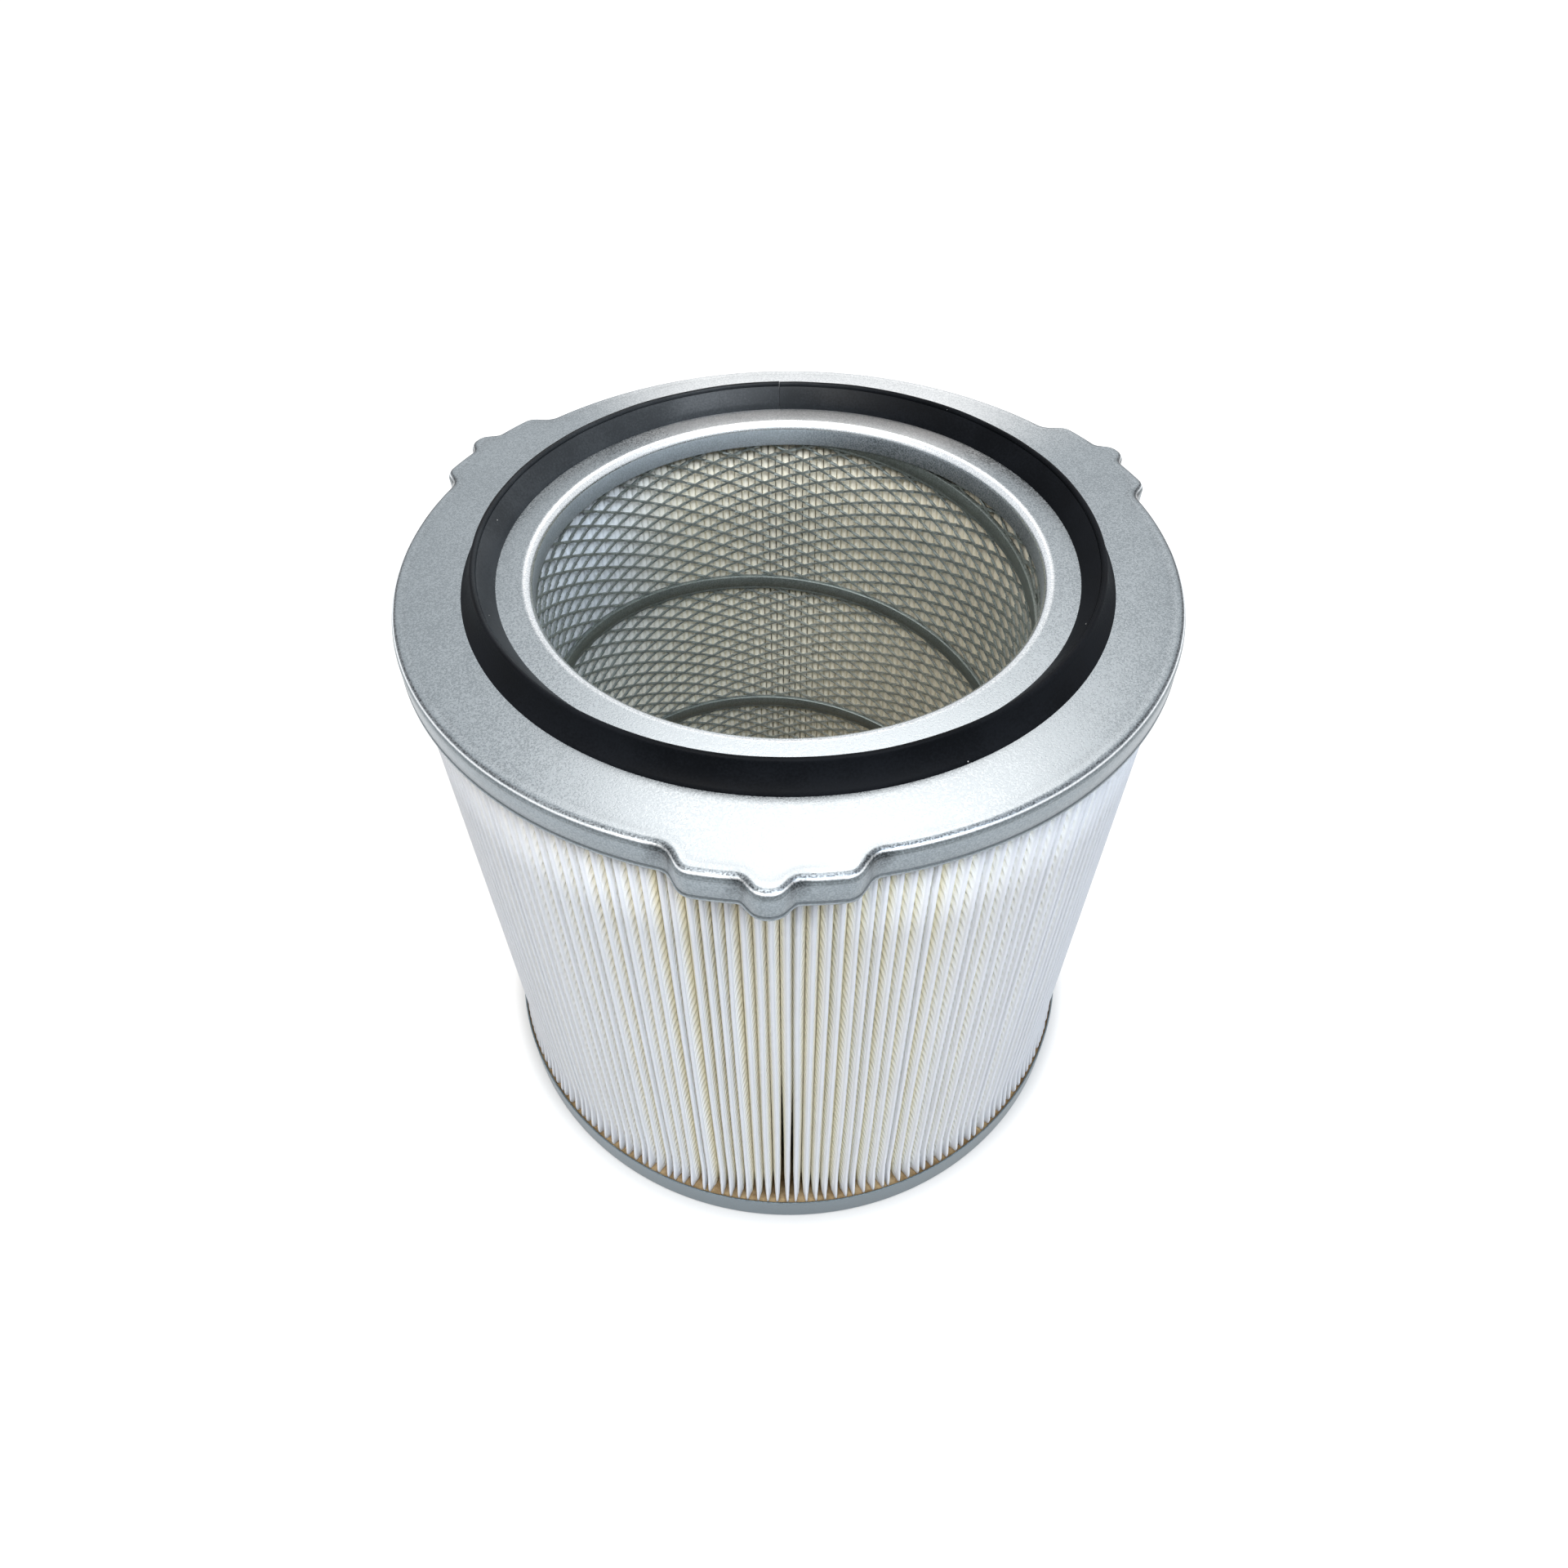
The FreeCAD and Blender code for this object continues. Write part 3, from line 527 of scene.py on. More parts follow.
def shapeByNodes(name, drawTree, values, wall=0.0):
    # a geometry tree with a named input for each value, its result kept as a plain mesh
    tree = bpy.data.node_groups.new(name, "GeometryNodeTree")
    rows = [("Geometry", "Geometry")]
    for key, value in values.items():
        rows.append((key, next(kind for sort, kind in socketKinds if isinstance(value, sort))))
    given, result = addSockets(tree, rows, [("Geometry", "Geometry")])
    feeds = {"Geometry": drawTree(tree, given), "Material": given["Material"]}
    feed(tree, result["Geometry"], addNode(tree, "GeometryNodeSetMaterial", feeds).outputs[0])
    piece = addObject(name, bpy.data.meshes.new(name))
    modifier = piece.modifiers.new("shape", "NODES")
    modifier.node_group = tree
    for item in tree.interface.items_tree:
        if item.in_out == "INPUT" and item.name in values:
            modifier[item.identifier] = values[item.name]
    if wall:
        thicken = piece.modifiers.new("wall", "SOLIDIFY")
        thicken.thickness = wall
        thicken.offset = 0.0
        thicken.use_rim = True
    result = piece.evaluated_get(bpy.context.evaluated_depsgraph_get())
    data = bpy.data.meshes.new_from_object(result)
    piece.modifiers.clear()
    piece.data = data
    return piece


def copyRound(tree, points, drawn, angle):
    # copies of a drawn object on points, each turned round the axis by its angle, as one mesh
    shape = addNode(tree, "GeometryNodeObjectInfo", {"Object": drawn}).outputs["Geometry"]
    rotation = addNode(tree, "FunctionNodeEulerToRotation", {0: joinXYZ(tree, 0.0, 0.0, angle)}).outputs[0]
    feeds = {"Points": points, "Instance": shape, "Rotation": rotation}
    copies = addNode(tree, "GeometryNodeInstanceOnPoints", feeds).outputs[0]
    return addNode(tree, "GeometryNodeRealizeInstances", {0: copies}).outputs[0]


def placeOnRing(tree, radius, angle, z):
    return joinXYZ(tree, times(tree, radius, calc(tree, "COSINE", angle)),
                   times(tree, radius, calc(tree, "SINE", angle)), z)


# Top flange: pressed sheet with three lugs, a rolled bore and a skirt
flange = {
    "radius": 163.45 * mm,
    "sheet": 1.0 * mm,
    "skirtRound": 3.2 * mm,
    "skirtFlare": 0.25 * mm,
    "bore": 107.0 * mm,
    "boreRound": 3.6 * mm,
    "collarDepth": 11.4 * mm,
    "lugs": 3,
    "firstLug": -90.0,
    "lugRoot": (152.8 * mm, 38.4 * mm),
    "lugRadius": 171.95 * mm,
    "lugHalf": 29.1 * mm,
    "lugRound": (8.0 * mm, 6.5 * mm),      # outer corner, inner corner
    "nubFootHalf": 9.3 * mm,
    "nubTop": (177.9 * mm, 3.9 * mm),
    "nubRound": (7.6 * mm, 3.0 * mm),
    "cornerSteps": 8,
    "arcStep": 1.0,       # degrees between points on the long arcs
    # beside the rim: how far in, and the share of the crease's depth there
    "crease": ((0.5, 0.0), (1.4, 0.4), (2.4, 1.0), (3.4, 0.8), (4.8, 0.25), (6.5, 0.0)),
    "creaseDepth": 0.06 * mm,
    "faceRings": (150 * mm, 135 * mm, 122 * mm),
    "waviness": 0.08 * mm,
    "wavesFrom": 150 * mm,
    "wavesFade": 14 * mm,
    "waveScale": 38,
    "cornerShadeReach": 5.0 * mm,
    "cornerShadeBend": -0.03,      # sine of the bend from which a corner counts as an inner one
}


def roundCorner(before, corner, after, radius, steps):
    # arc that rounds one corner of a path
    toBefore = (before - corner).normalized()
    toAfter = (after - corner).normalized()
    half = toBefore.angle(toAfter) / 2
    centre = corner + (toBefore + toAfter).normalized() * (radius / math.sin(half))
    reach = radius / math.tan(half)
    start = corner + toBefore * reach - centre
    end = corner + toAfter * reach - centre
    points = []
    for i in range(steps + 1):
        direction = start.lerp(end, i / steps)
        points.append(centre + direction.normalized() * radius)
    return points


def lugOutline():
    # half of one lug on the X axis, from the nub's middle to where the round rim goes on
    step = flange["lugRadius"]
    stepCorner = Vector((math.sqrt(step ** 2 - flange["lugHalf"] ** 2), flange["lugHalf"]))
    nubFoot = Vector((math.sqrt(step ** 2 - flange["nubFootHalf"] ** 2), flange["nubFootHalf"]))
    nubTop = Vector(flange["nubTop"])
    root = Vector(flange["lugRoot"])
    ramp = root - stepCorner
    # where the ramp meets the rim
    a = ramp.dot(ramp)
    b = 2 * stepCorner.dot(ramp)
    c = stepCorner.dot(stepCorner) - flange["radius"] ** 2
    meeting = stepCorner + ramp * ((-b - math.sqrt(b * b - 4 * a * c)) / (2 * a))
    onStep = []
    for share in (0.3, 0.5, 0.7):
        angle = math.asin(nubFoot.y / step) * (1 - share) + math.asin(stepCorner.y / step) * share
        onStep.append(onRing(step, angle, 0).to_2d())
    rimAngle = math.atan2(meeting.y, meeting.x) + math.radians(3)
    onRim = onRing(flange["radius"], rimAngle, 0).to_2d()
    steps = flange["cornerSteps"]
    points = [Vector((nubTop.x, 0))]
    points += roundCorner(points[0], nubTop, nubFoot, flange["nubRound"][0], steps)
    points += roundCorner(nubTop, nubFoot, onStep[0], flange["nubRound"][1], steps)
    points += onStep
    points += roundCorner(onStep[-1], stepCorner, meeting, flange["lugRound"][0], steps)
    points += roundCorner(stepCorner, meeting, onRim, flange["lugRound"][1], steps)
    points.append(onRim)
    return points


def flangeOutline():
    half = lugOutline()
    spacing = 360.0 / flange["lugs"]
    end = math.degrees(math.atan2(half[-1].y, half[-1].x))
    between = int((spacing - 2 * end) / flange["arcStep"])
    points = []
    for lug in range(flange["lugs"]):
        lift = math.radians(flange["firstLug"] + lug * spacing)
        whole = [Vector((p.x, -p.y)) for p in reversed(half[1:])] + half
        points += [Matrix.Rotation(lift, 2) @ p for p in whole]
        for i in range(1, between):
            angle = lift + math.radians(end + (spacing - 2 * end) * i / between)
            points.append(Vector((math.cos(angle), math.sin(angle))) * flange["radius"])
    return points


def makeFlange(material):
    outline = flangeOutline()
    count = len(outline)
    outward = []
    for i in range(count):
        along = outline[(i + 1) % count] - outline[i - 1]
        outward.append(Vector((along.y, -along.x)).normalized())
    low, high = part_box("top_flange")
    face = high.z
    sheet = flange["sheet"]
    rim = flange["skirtRound"]
    roll = flange["boreRound"]
    bore = flange["bore"]
    flare = flange["skirtFlare"]

    def fromOutline(inset, z):
        return [Vector((*(p - n * inset), z)) for p, n in zip(outline, outward)]

    inner = [p - n * rim for p, n in zip(outline, outward)]
    angles = np.array([math.atan2(p.y, p.x) for p in inner])
    radii = np.array([p.length for p in inner])
    apart = (angles[:, None] - angles[None, :] + math.pi) % wholeTurn - math.pi
    share = np.abs(np.roll(angles, -1) - np.roll(angles, 1))
    share = np.minimum(share, wholeTurn - share)

    def insideRim(inward, z):
        # the outline moved in, its bends smoothed the more the further in
        weights = np.exp(-0.5 * (apart * flange["radius"] / (0.8 * inward)) ** 2) * share
        smooth = weights @ radii / weights.sum(1) - inward
        return [onRing(r, a, z) for r, a in zip(smooth.tolist(), angles.tolist())]

    def onCircle(radius, z):
        return [Vector((*(p.normalized() * radius), z)) for p in outline]

    rows = [fromOutline(sheet * 0.7, low.z), fromOutline(0.12 * mm, low.z + 0.1 * mm),
            fromOutline(0.0, low.z + 0.4 * mm), fromOutline(0.0, low.z + 1.0 * mm),
            fromOutline(flare + 0.25 * mm, low.z + 1.5 * mm), fromOutline(flare, low.z + 2.2 * mm),
            fromOutline(flare, face - rim - 1.2 * mm), fromOutline(flare + 0.15 * mm, face - rim - 0.5 * mm)]
    for inset, z in arcPoints((rim, face - rim), rim, 180, 90, 8):
        rows.append(fromOutline(max(inset, 0) + flare * (1 - inset / rim), z))
    dip = flange["creaseDepth"]
    for inset, drop in flange["crease"]:
        rows.append(insideRim(inset * mm, face - dip * drop))
    for radius in (*flange["faceRings"], bore + roll + 0.4 * mm):
        rows.append(onCircle(radius, face))
    for radius, z in arcPoints((bore + roll, face - roll), roll, 90, 180, 10):
        rows.append(onCircle(radius, z))
    foot = face - flange["collarDepth"]
    rows += [onCircle(bore, foot + 0.3 * mm), onCircle(bore + 0.15 * mm, foot + 0.05 * mm),
             onCircle(bore + sheet * 0.5, foot), onCircle(bore + sheet, foot + 0.2 * mm)]
    for radius, z in arcPoints((bore + roll, face - roll), roll - sheet, 180, 90, 6):
        rows.append(onCircle(radius, z))
    rows.append(onCircle(140 * mm, face - sheet))
    for inset, z in arcPoints((rim, face - rim), rim - sheet, 90, 180, 4):
        rows.append(fromOutline(inset, z))
    rows.append(fromOutline(sheet, low.z + 0.1 * mm))

    # the pressing isn't dead flat: its rim and skirt waver a little
    for row in rows:
        for point in row:
            reach = max(0.0, (point.to_2d().length - flange["wavesFrom"]) / flange["wavesFade"])
            scale = flange["waveScale"]
            drop = abs(noise.noise(Vector((point.x * scale, point.y * scale, 0.3)))) * flange["waviness"]
            if point.z > low.z + 3 * mm:
                point.z -= drop * min(reach, 1.0)
    piece = finishMesh("flangeCap", skin(rows), material, 50.0)
    markCornerShade(piece, outline)
    return piece


def markCornerShade(piece, outline):
    # how near each point is to an inner corner of the outline, kept as an attribute that masks the painted
    # corner shade
    edge = np.array([(p.x, p.y) for p in outline])
    before = edge - np.roll(edge, 1, 0)
    after = np.roll(edge, -1, 0) - edge
    bend = before[:, 0] * after[:, 1] - before[:, 1] * after[:, 0]
    sharp = bend / (np.linalg.norm(before, axis=1) * np.linalg.norm(after, axis=1))
    corner = edge[sharp < flange["cornerShadeBend"]]
    data = piece.data
    points = np.zeros(len(data.vertices) * 3)
    data.vertices.foreach_get("co", points)
    places = points.reshape(-1, 3)
    away = np.linalg.norm(places[:, None, :2] - corner[None], axis=2).min(1)
    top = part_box("top_flange")[1].z
    share = np.clip(1 - away / flange["cornerShadeReach"], 0, 1) ** 1.5
    share *= np.clip(1 - (top - places[:, 2] - 2.5 * mm) / (5 * mm), 0, 1)
    data.attributes.new("pressed", "FLOAT", "POINT").data.foreach_set("value", share)


# Gasket: a wedge strip with a small round bead on its ridge, bent to a ring and butted near the back
gasket = {
    "innerFoot": 121.5 * mm,
    "outerFoot": 135.6 * mm,
    "frontSwell": 1.9 * mm,     # the strip spreads further out at the front than at the sides
    "ridge": 128.9 * mm,
    "beadRadius": 1.25 * mm,
    "butt": 94.0,
    "buttGap": 0.1 * mm,
    "buttStep": 0.5 * mm,
    "sections": 420,
    "waver": 0.25 * mm,
}


def makeGasket(material):
    low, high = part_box("gasket")
    foot = low.z
    top = high.z
    bead = gasket["beadRadius"]
    ridge = gasket["ridge"]
    rows = []
    count = gasket["sections"]
    start = math.radians(gasket["butt"])
    gap = gasket["buttGap"] / ridge
    for i in range(count + 1):
        share = i / count
        angle = start + gap / 2 + share * (wholeTurn - gap)
        swell = gasket["frontSwell"] * (-math.sin(angle) - 0.35)
        outer = gasket["outerFoot"] + swell
        step = gasket["buttStep"] * (math.exp(-share * 30) - math.exp(-(1 - share) * 30)) * 0.5
        drift = noise.noise(Vector((math.cos(angle), math.sin(angle), 0.0)) * 3.1) * gasket["waver"]
        sink = abs(noise.noise(Vector((math.cos(angle) * 5, math.sin(angle) * 5, 4.0)))) * 0.3 * mm
        peak = top - bead - sink
        inner = gasket["innerFoot"]
        profile = [(inner, foot), (inner + 0.1 * mm, foot + 0.5 * mm), (inner + 1.5 * mm, foot + 2.6 * mm),
                   (ridge - 2.6 * mm, peak - 1.6 * mm), (ridge - 1.5 * mm, peak - 0.5 * mm),
                   (ridge - 1.15 * mm, peak - 0.6 * mm)]
        profile += arcPoints((ridge, peak), bead, 185, -10, 8)
        profile += [(ridge + 1.9 * mm, peak - 1.8 * mm), (ridge + 3.2 * mm, foot + 4.2 * mm),
                    (outer - 1.2 * mm, foot + 1.2 * mm), (outer - 0.15 * mm, foot + 0.35 * mm), (outer, foot)]
        row = []
        for radius, z in profile:
            r = radius + (drift + step) * min(1.0, (z - foot) / (6 * mm) + 0.3)
            row.append(onRing(r, angle, z))
        rows.append(row)
    return finishMesh("gasketRing", skin(rows, closedRows=False, capEnds=True), material, 48.0)


# Bottom pan: flat disc, upright rim, one shallow stiffening bead underneath
pan = {
    "sheet": 0.9 * mm,
    "rimRound": 3.0 * mm,
    "bead": 91.0 * mm,
    "beadHalf": 7.0 * mm,
    "beadSlope": 3.0 * mm,
    "beadDepth": 3.0 * mm,
    "segments": 360,
    "waver": 0.25 * mm,
}


def makePan(material):
    low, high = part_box("bottom_cap")
    edge = high.x - 0.1 * mm
    sheet = pan["sheet"]
    turn = pan["rimRound"]
    rim = high.z
    inFoot = pan["bead"] - pan["beadHalf"]
    outFoot = pan["bead"] + pan["beadHalf"]
    slope = pan["beadSlope"]
    depth = pan["beadDepth"]
    under = [(0, 0), (inFoot - 0.5 * mm, 0), (inFoot + 0.5 * mm, 0.25 * mm),
             (inFoot + slope, depth - 0.2 * mm), (inFoot + slope + 1 * mm, depth),
             (outFoot - slope - 1 * mm, depth),
             (outFoot - slope, depth - 0.2 * mm), (outFoot - 0.5 * mm, 0.25 * mm), (outFoot + 0.5 * mm, 0),
             (edge - turn - 0.5 * mm, 0)]
    under += arcPoints((edge - turn, turn), turn, -90, 0, 8)
    under += [(edge, rim - 1.2 * mm), (edge, rim - 0.3 * mm), (edge - 0.15 * mm, rim - 0.05 * mm),
              (edge - sheet / 2, rim), (edge - sheet + 0.1 * mm, rim - 0.1 * mm),
              (edge - sheet, rim - 0.4 * mm)]
    under += arcPoints((edge - turn, turn), turn - sheet, 0, -90, 5)
    under += [(outFoot, sheet), (outFoot - slope, depth + sheet), (inFoot + slope, depth + sheet),
              (inFoot, sheet), (0, sheet)]

    def nudge(radius, height, angle):
        # the rim wavers a little, the foot doesn't
        share = max(0.0, height - turn) / (rim - turn)
        around = Vector((math.cos(angle), math.sin(angle), 0.5)) * 2.3
        return radius - abs(noise.noise(around)) * pan["waver"] * share, height

    return finishMesh("bottomPan", lathe(under, pan["segments"], nudge), material, 30.0)


# Cast resin in the pan: its surface creeps up the rim and between the folds
footResin = {
    "level": 15.0 * mm,
    "segments": 400,
    "edgeRound": 2.6 * mm,
    "beadHeight": 3.2 * mm,     # over the pan's stiffening bead
    "lumpsFrom": 140 * mm,
    "lumpSize": 2.6 * mm,
    "creep": 1.5 * mm,
    "bite": 0.9 * mm,
}


def makeFootResin(material):
    low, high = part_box("bottom_potting")
    edge = high.x
    level = footResin["level"]
    turn = footResin["edgeRound"]
    bead = low.z + footResin["beadHeight"]
    profile = [(0, low.z), (60 * mm, low.z), (80 * mm, low.z), (86 * mm, bead), (96 * mm, bead),
               (102 * mm, low.z), (edge - turn, low.z), (edge, low.z + turn), (edge, level + 0.9 * mm)]
    profile += [(edge - d * mm, level) for d in (0.6, 1.4, 2.4, 3.6, 5.0, 7.0, 10.0)]
    profile += [(130 * mm, level), (112 * mm, level), (105 * mm, level), (60 * mm, level), (0, level)]

    def nudge(radius, height, angle):
        if height < level or radius < footResin["lumpsFrom"]:
            return radius, height
        size = footResin["lumpSize"]
        lumps = noise.noise(onRing(1, angle, 0) * (radius / size)) * footResin["bite"]
        out = max(0.0, 1 - (edge - radius) / size)
        return radius, height + lumps * 0.5 + footResin["creep"] * out * out * 0.5

    return finishMesh("footResin", lathe(profile, footResin["segments"], nudge), material, 60.0)


# Filter sheet: one fold is drawn, set round the axis, joined at the valleys and then made uneven
sheetFolds = {
    "folds": 200,
    "tipRadius": 159.35 * mm,
    "rootRadius": 111.2 * mm,
    # mm inward from the tip, and half the fold's width there
    "section": ((0, 0), (0.1, 0.32), (0.35, 0.5), (0.9, 0.58), (2.5, 0.97), (4.8, 2.12), (22, 1.79),
                (36, 1.26)),
    "rootHalf": 1.28 * mm,
    "rootRound": 0.8 * mm,
    "thickness": 0.55 * mm,
    "wander": 1.05 * mm,
    "lean": 0.45 * mm,
    "leanStretch": 7.0,
    "bendReach": 5.5 * mm,     # the tip's sideways move is mostly in this depth
    "bendShare": 0.75,
    "pinchHeight": 24 * mm,
    "pinch": 0.4,
    "flare": 2.5 * mm,
    "tuck": 0.8 * mm,          # the lowest 2.2 mm draw in to the resin by this
    "tuckHeight": 2.2 * mm,
    "openGaps": 0.04,
    "openFoot": (30 * mm, 5 * mm, 0.0, 0.12),      # heights, and how open all gaps are there
    "openSpot": -88.3,         # degrees; the gap that stands open here, towards the foot
    "spotReach": (0.06, 0.015),                     # radians from its middle
    "spotHeight": (130 * mm, 60 * mm, 0.0, 0.4),
    "openDepth": ((0.999, 0.965), (0.15, 0.35)),    # shares of the depth where gaps close again
    "rows": (0, 1.5, 4, 8, 14, 24, 50, 90, 135, 185, 235, 283),   # mm above the resin
    "seed": 11.3,
}


def drawFold():
    # narrow tip, flanks that swell behind it and then close in, tight root
    tip = sheetFolds["tipRadius"]
    root = sheetFolds["rootRadius"]
    reach = math.pi / sheetFolds["folds"]
    points = []
    for inward, half in sheetFolds["section"]:
        radius = tip - inward * mm
        points.append((radius, half * mm / radius))
    points.append((root + sheetFolds["rootRound"], reach - sheetFolds["rootHalf"] / root))
    points.append((root, reach))
    points = [(r, -a) for r, a in reversed(points[1:])] + points
    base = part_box("filter_pleats")[0].z
    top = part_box("filter_pleats")[1].z
    scale = (top - base) / (sheetFolds["rows"][-1] * mm)
    rows = []
    for height in sheetFolds["rows"]:
        z = base + height * mm * scale
        rows.append([onRing(r, a, z) for r, a in points])
    return meshObject("oneFold", skin(rows, closedRow=False, closedRows=False))


def drawFolds(tree, given):
    # set the folds round the axis
    line = addNode(tree, "GeometryNodeMeshLine", {"Count": given["Folds"], "Offset": (0, 0, 0)})
    index = addNode(tree, "GeometryNodeInputIndex").outputs[0]
    pitch = ratio(tree, wholeTurn, given["Folds"])
    folds = copyRound(tree, line.outputs["Mesh"], given["One fold"], times(tree, index, pitch))
    joined = addNode(tree, "GeometryNodeMergeByDistance", {"Geometry": folds, "Distance": 1e-5}).outputs[0]

    # the fold that a point belongs to, and how far out it lies
    x, y, z = splitXYZ(tree, addNode(tree, "GeometryNodeInputPosition").outputs[0])
    radius = radiusOf(tree, x, y)
    angle = calc(tree, "ARCTAN2", y, x)
    number = calc(tree, "ROUND", ratio(tree, angle, pitch))
    middle = times(tree, number, pitch)
    aside = minus(tree, angle, middle)
    weight = spread(tree, radius, given["Root radius"], given["Tip radius"])
    up = minus(tree, z, given["Foot"])

    def drift(stretch, lift):
        # uneven by fold and, where stretch isn't 0, by height
        spot = joinXYZ(tree, times(tree, number, 3.17), times(tree, z, stretch),
                       plus(tree, given["Seed"], lift))
        texture = addNode(tree, "ShaderNodeTexNoise", {"Vector": spot, "Scale": 1.0, "Detail": 0.0})
        return times(tree, minus(tree, texture.outputs["Fac"], 0.5), 4.0)

    # move each tip sideways, by fold and by height, and narrow it towards the foot
    share = sheetFolds["bendShare"]
    nearTip = spread(tree, minus(tree, given["Tip radius"], radius), sheetFolds["bendReach"], 0.0, 0.0, share)
    bend = plus(tree, nearTip, times(tree, calc(tree, "POWER", weight, 3.0), 1.0 - share))
    sideways = plus(tree, times(tree, drift(0.0, 0.0), given["Wander"]),
                    times(tree, drift(sheetFolds["leanStretch"], 9.0), given["Lean"]))
    sideways = ratio(tree, times(tree, sideways, bend), given["Tip radius"])
    nearFoot = spread(tree, ratio(tree, up, given["Pinch height"]), 1.0, 0.0)
    squeeze = times(tree, nearFoot, given["Pinch"], calc(tree, "POWER", weight, 4.0))
    aside = times(tree, aside, minus(tree, 1.0, squeeze))

    # some gaps stay open to their depth, more of them near the foot
    openness = calc(tree, "MAXIMUM", times(tree, drift(4.0, 21.0), given["Open gaps"]), 0.0)
    atSpot = times(tree, spread(tree, gapTo(tree, angle, given["Open spot"]), *sheetFolds["spotReach"]),
                   spread(tree, up, *sheetFolds["spotHeight"]))
    openness = plus(tree, openness, spread(tree, up, *sheetFolds["openFoot"]), atSpot)
    inDepth = times(tree, *(spread(tree, weight, *ends) for ends in sheetFolds["openDepth"]))
    aside = times(tree, aside, minus(tree, 1.0, times(tree, openness, inDepth)))

    # the feet flare out, and draw in again where they meet the resin
    flared = times(tree, nearFoot, given["Flare"], calc(tree, "POWER", weight, 2.0))
    foot = spread(tree, up, sheetFolds["tuckHeight"], 0.0)
    tucked = times(tree, foot, times(tree, weight, sheetFolds["tuck"]))
    radius = minus(tree, plus(tree, radius, flared), tucked)
    place = placeOnRing(tree, radius, plus(tree, middle, aside, sideways), z)
    moved = addNode(tree, "GeometryNodeSetPosition", {"Geometry": joined, "Position": place}).outputs[0]
    return addNode(tree, "GeometryNodeSetShadeSmooth", {"Geometry": moved}).outputs[0]


def makeFilterSheet(material):
    fold = drawFold()
    piece = shapeByNodes("filterSheet", drawFolds, {
        "One fold": fold,
        "Folds": sheetFolds["folds"],
        "Tip radius": sheetFolds["tipRadius"],
        "Root radius": sheetFolds["rootRadius"],
        "Foot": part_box("filter_pleats")[0].z,
        "Wander": sheetFolds["wander"],
        "Lean": sheetFolds["lean"],
        "Pinch height": sheetFolds["pinchHeight"],
        "Pinch": sheetFolds["pinch"],
        "Flare": sheetFolds["flare"],
        "Open gaps": sheetFolds["openGaps"],
        "Open spot": math.radians(sheetFolds["openSpot"]),
        "Seed": sheetFolds["seed"],
        "Material": material,
    }, wall=sheetFolds["thickness"])
    bpy.data.objects.remove(fold)
    return piece


# Inner core: expanded metal in a spiral strip. One crossing of two strands is drawn and repeated
core = {
    "radius": 108.8 * mm,       # middle of the wall
    "cellLength": 18.3 * mm,
    "cellHeight": 7.5 * mm,
    "strands": (0.85 * mm, 1.35 * mm),     # rising, falling
    "sheet": 0.75 * mm,
    "twist": 0.22 * mm,
    "seamPitch": 91.0 * mm,
    "seamStart": 97.3 * mm,
    "seamWidth": 8.0 * mm,
    "seamStand": 0.7 * mm,
    "columns": 162,
    "rows": 22,
    "endMargin": 3.5 * mm,
    "wallHalf": 0.6 * mm,
    "turnStep": 2.0,            # degrees between sections of the seam
}
core["slope"] = math.atan(core["seamPitch"] / (wholeTurn * core["radius"]))


def drawCrossing():
    # X of two strands in the wall, turned to the strip's slope, its +X pointing out of the tube
    half = Vector((core["cellLength"] / 4, core["cellHeight"] / 4))
    thick = core["sheet"] / 2
    rising, falling = core["strands"]
    outline = []
    for signs in ((1, 1), (-1, 1), (-1, -1), (1, -1)):
        end = Vector((half.x * signs[0], half.y * signs[1]))
        up = signs[0] * signs[1] > 0
        side = Vector((-end.y, end.x)).normalized() * (rising if up else falling) / 2
        lean = core["twist"] if up else -core["twist"]
        outline += [(end - side, -lean), (end + side, lean)]
    # where the edges of the two strands cross
    direction = half.normalized()
    both = (rising + falling) / 4
    apart = (rising - falling) / 4
    high = Vector((apart / direction.y, both / direction.x))
    wide = Vector((both / direction.y, apart / direction.x))
    notches = [high, -wide, -high, wide]
    path = []
    for i in range(4):
        path += [outline[2 * i], outline[2 * i + 1], (notches[i], 0.0)]
    mesh = bmesh.new()
    tilt = Matrix.Rotation(core["slope"], 2)
    layers = []
    for lift in (thick, -thick):
        layer = []
        for point, lean in path:
            turned = tilt @ point
            layer.append(mesh.verts.new((lift + lean, turned.x, turned.y)))
        layers.append(layer)
    for layer, order in zip(layers, (1, -1)):
        centre = [layer[2], layer[5], layer[8], layer[11]]
        mesh.faces.new(centre[::order])
        for i in range(4):
            before = layer[(3 * i - 1) % 12]
            mesh.faces.new([before, layer[3 * i], layer[3 * i + 1], layer[3 * i + 2]][::order])
    for i in range(12):
        n = (i + 1) % 12
        mesh.faces.new((layers[0][i], layers[1][i], layers[1][n], layers[0][n]))
    bmesh.ops.recalc_face_normals(mesh, faces=mesh.faces)
    return meshObject("strandCrossing", mesh)


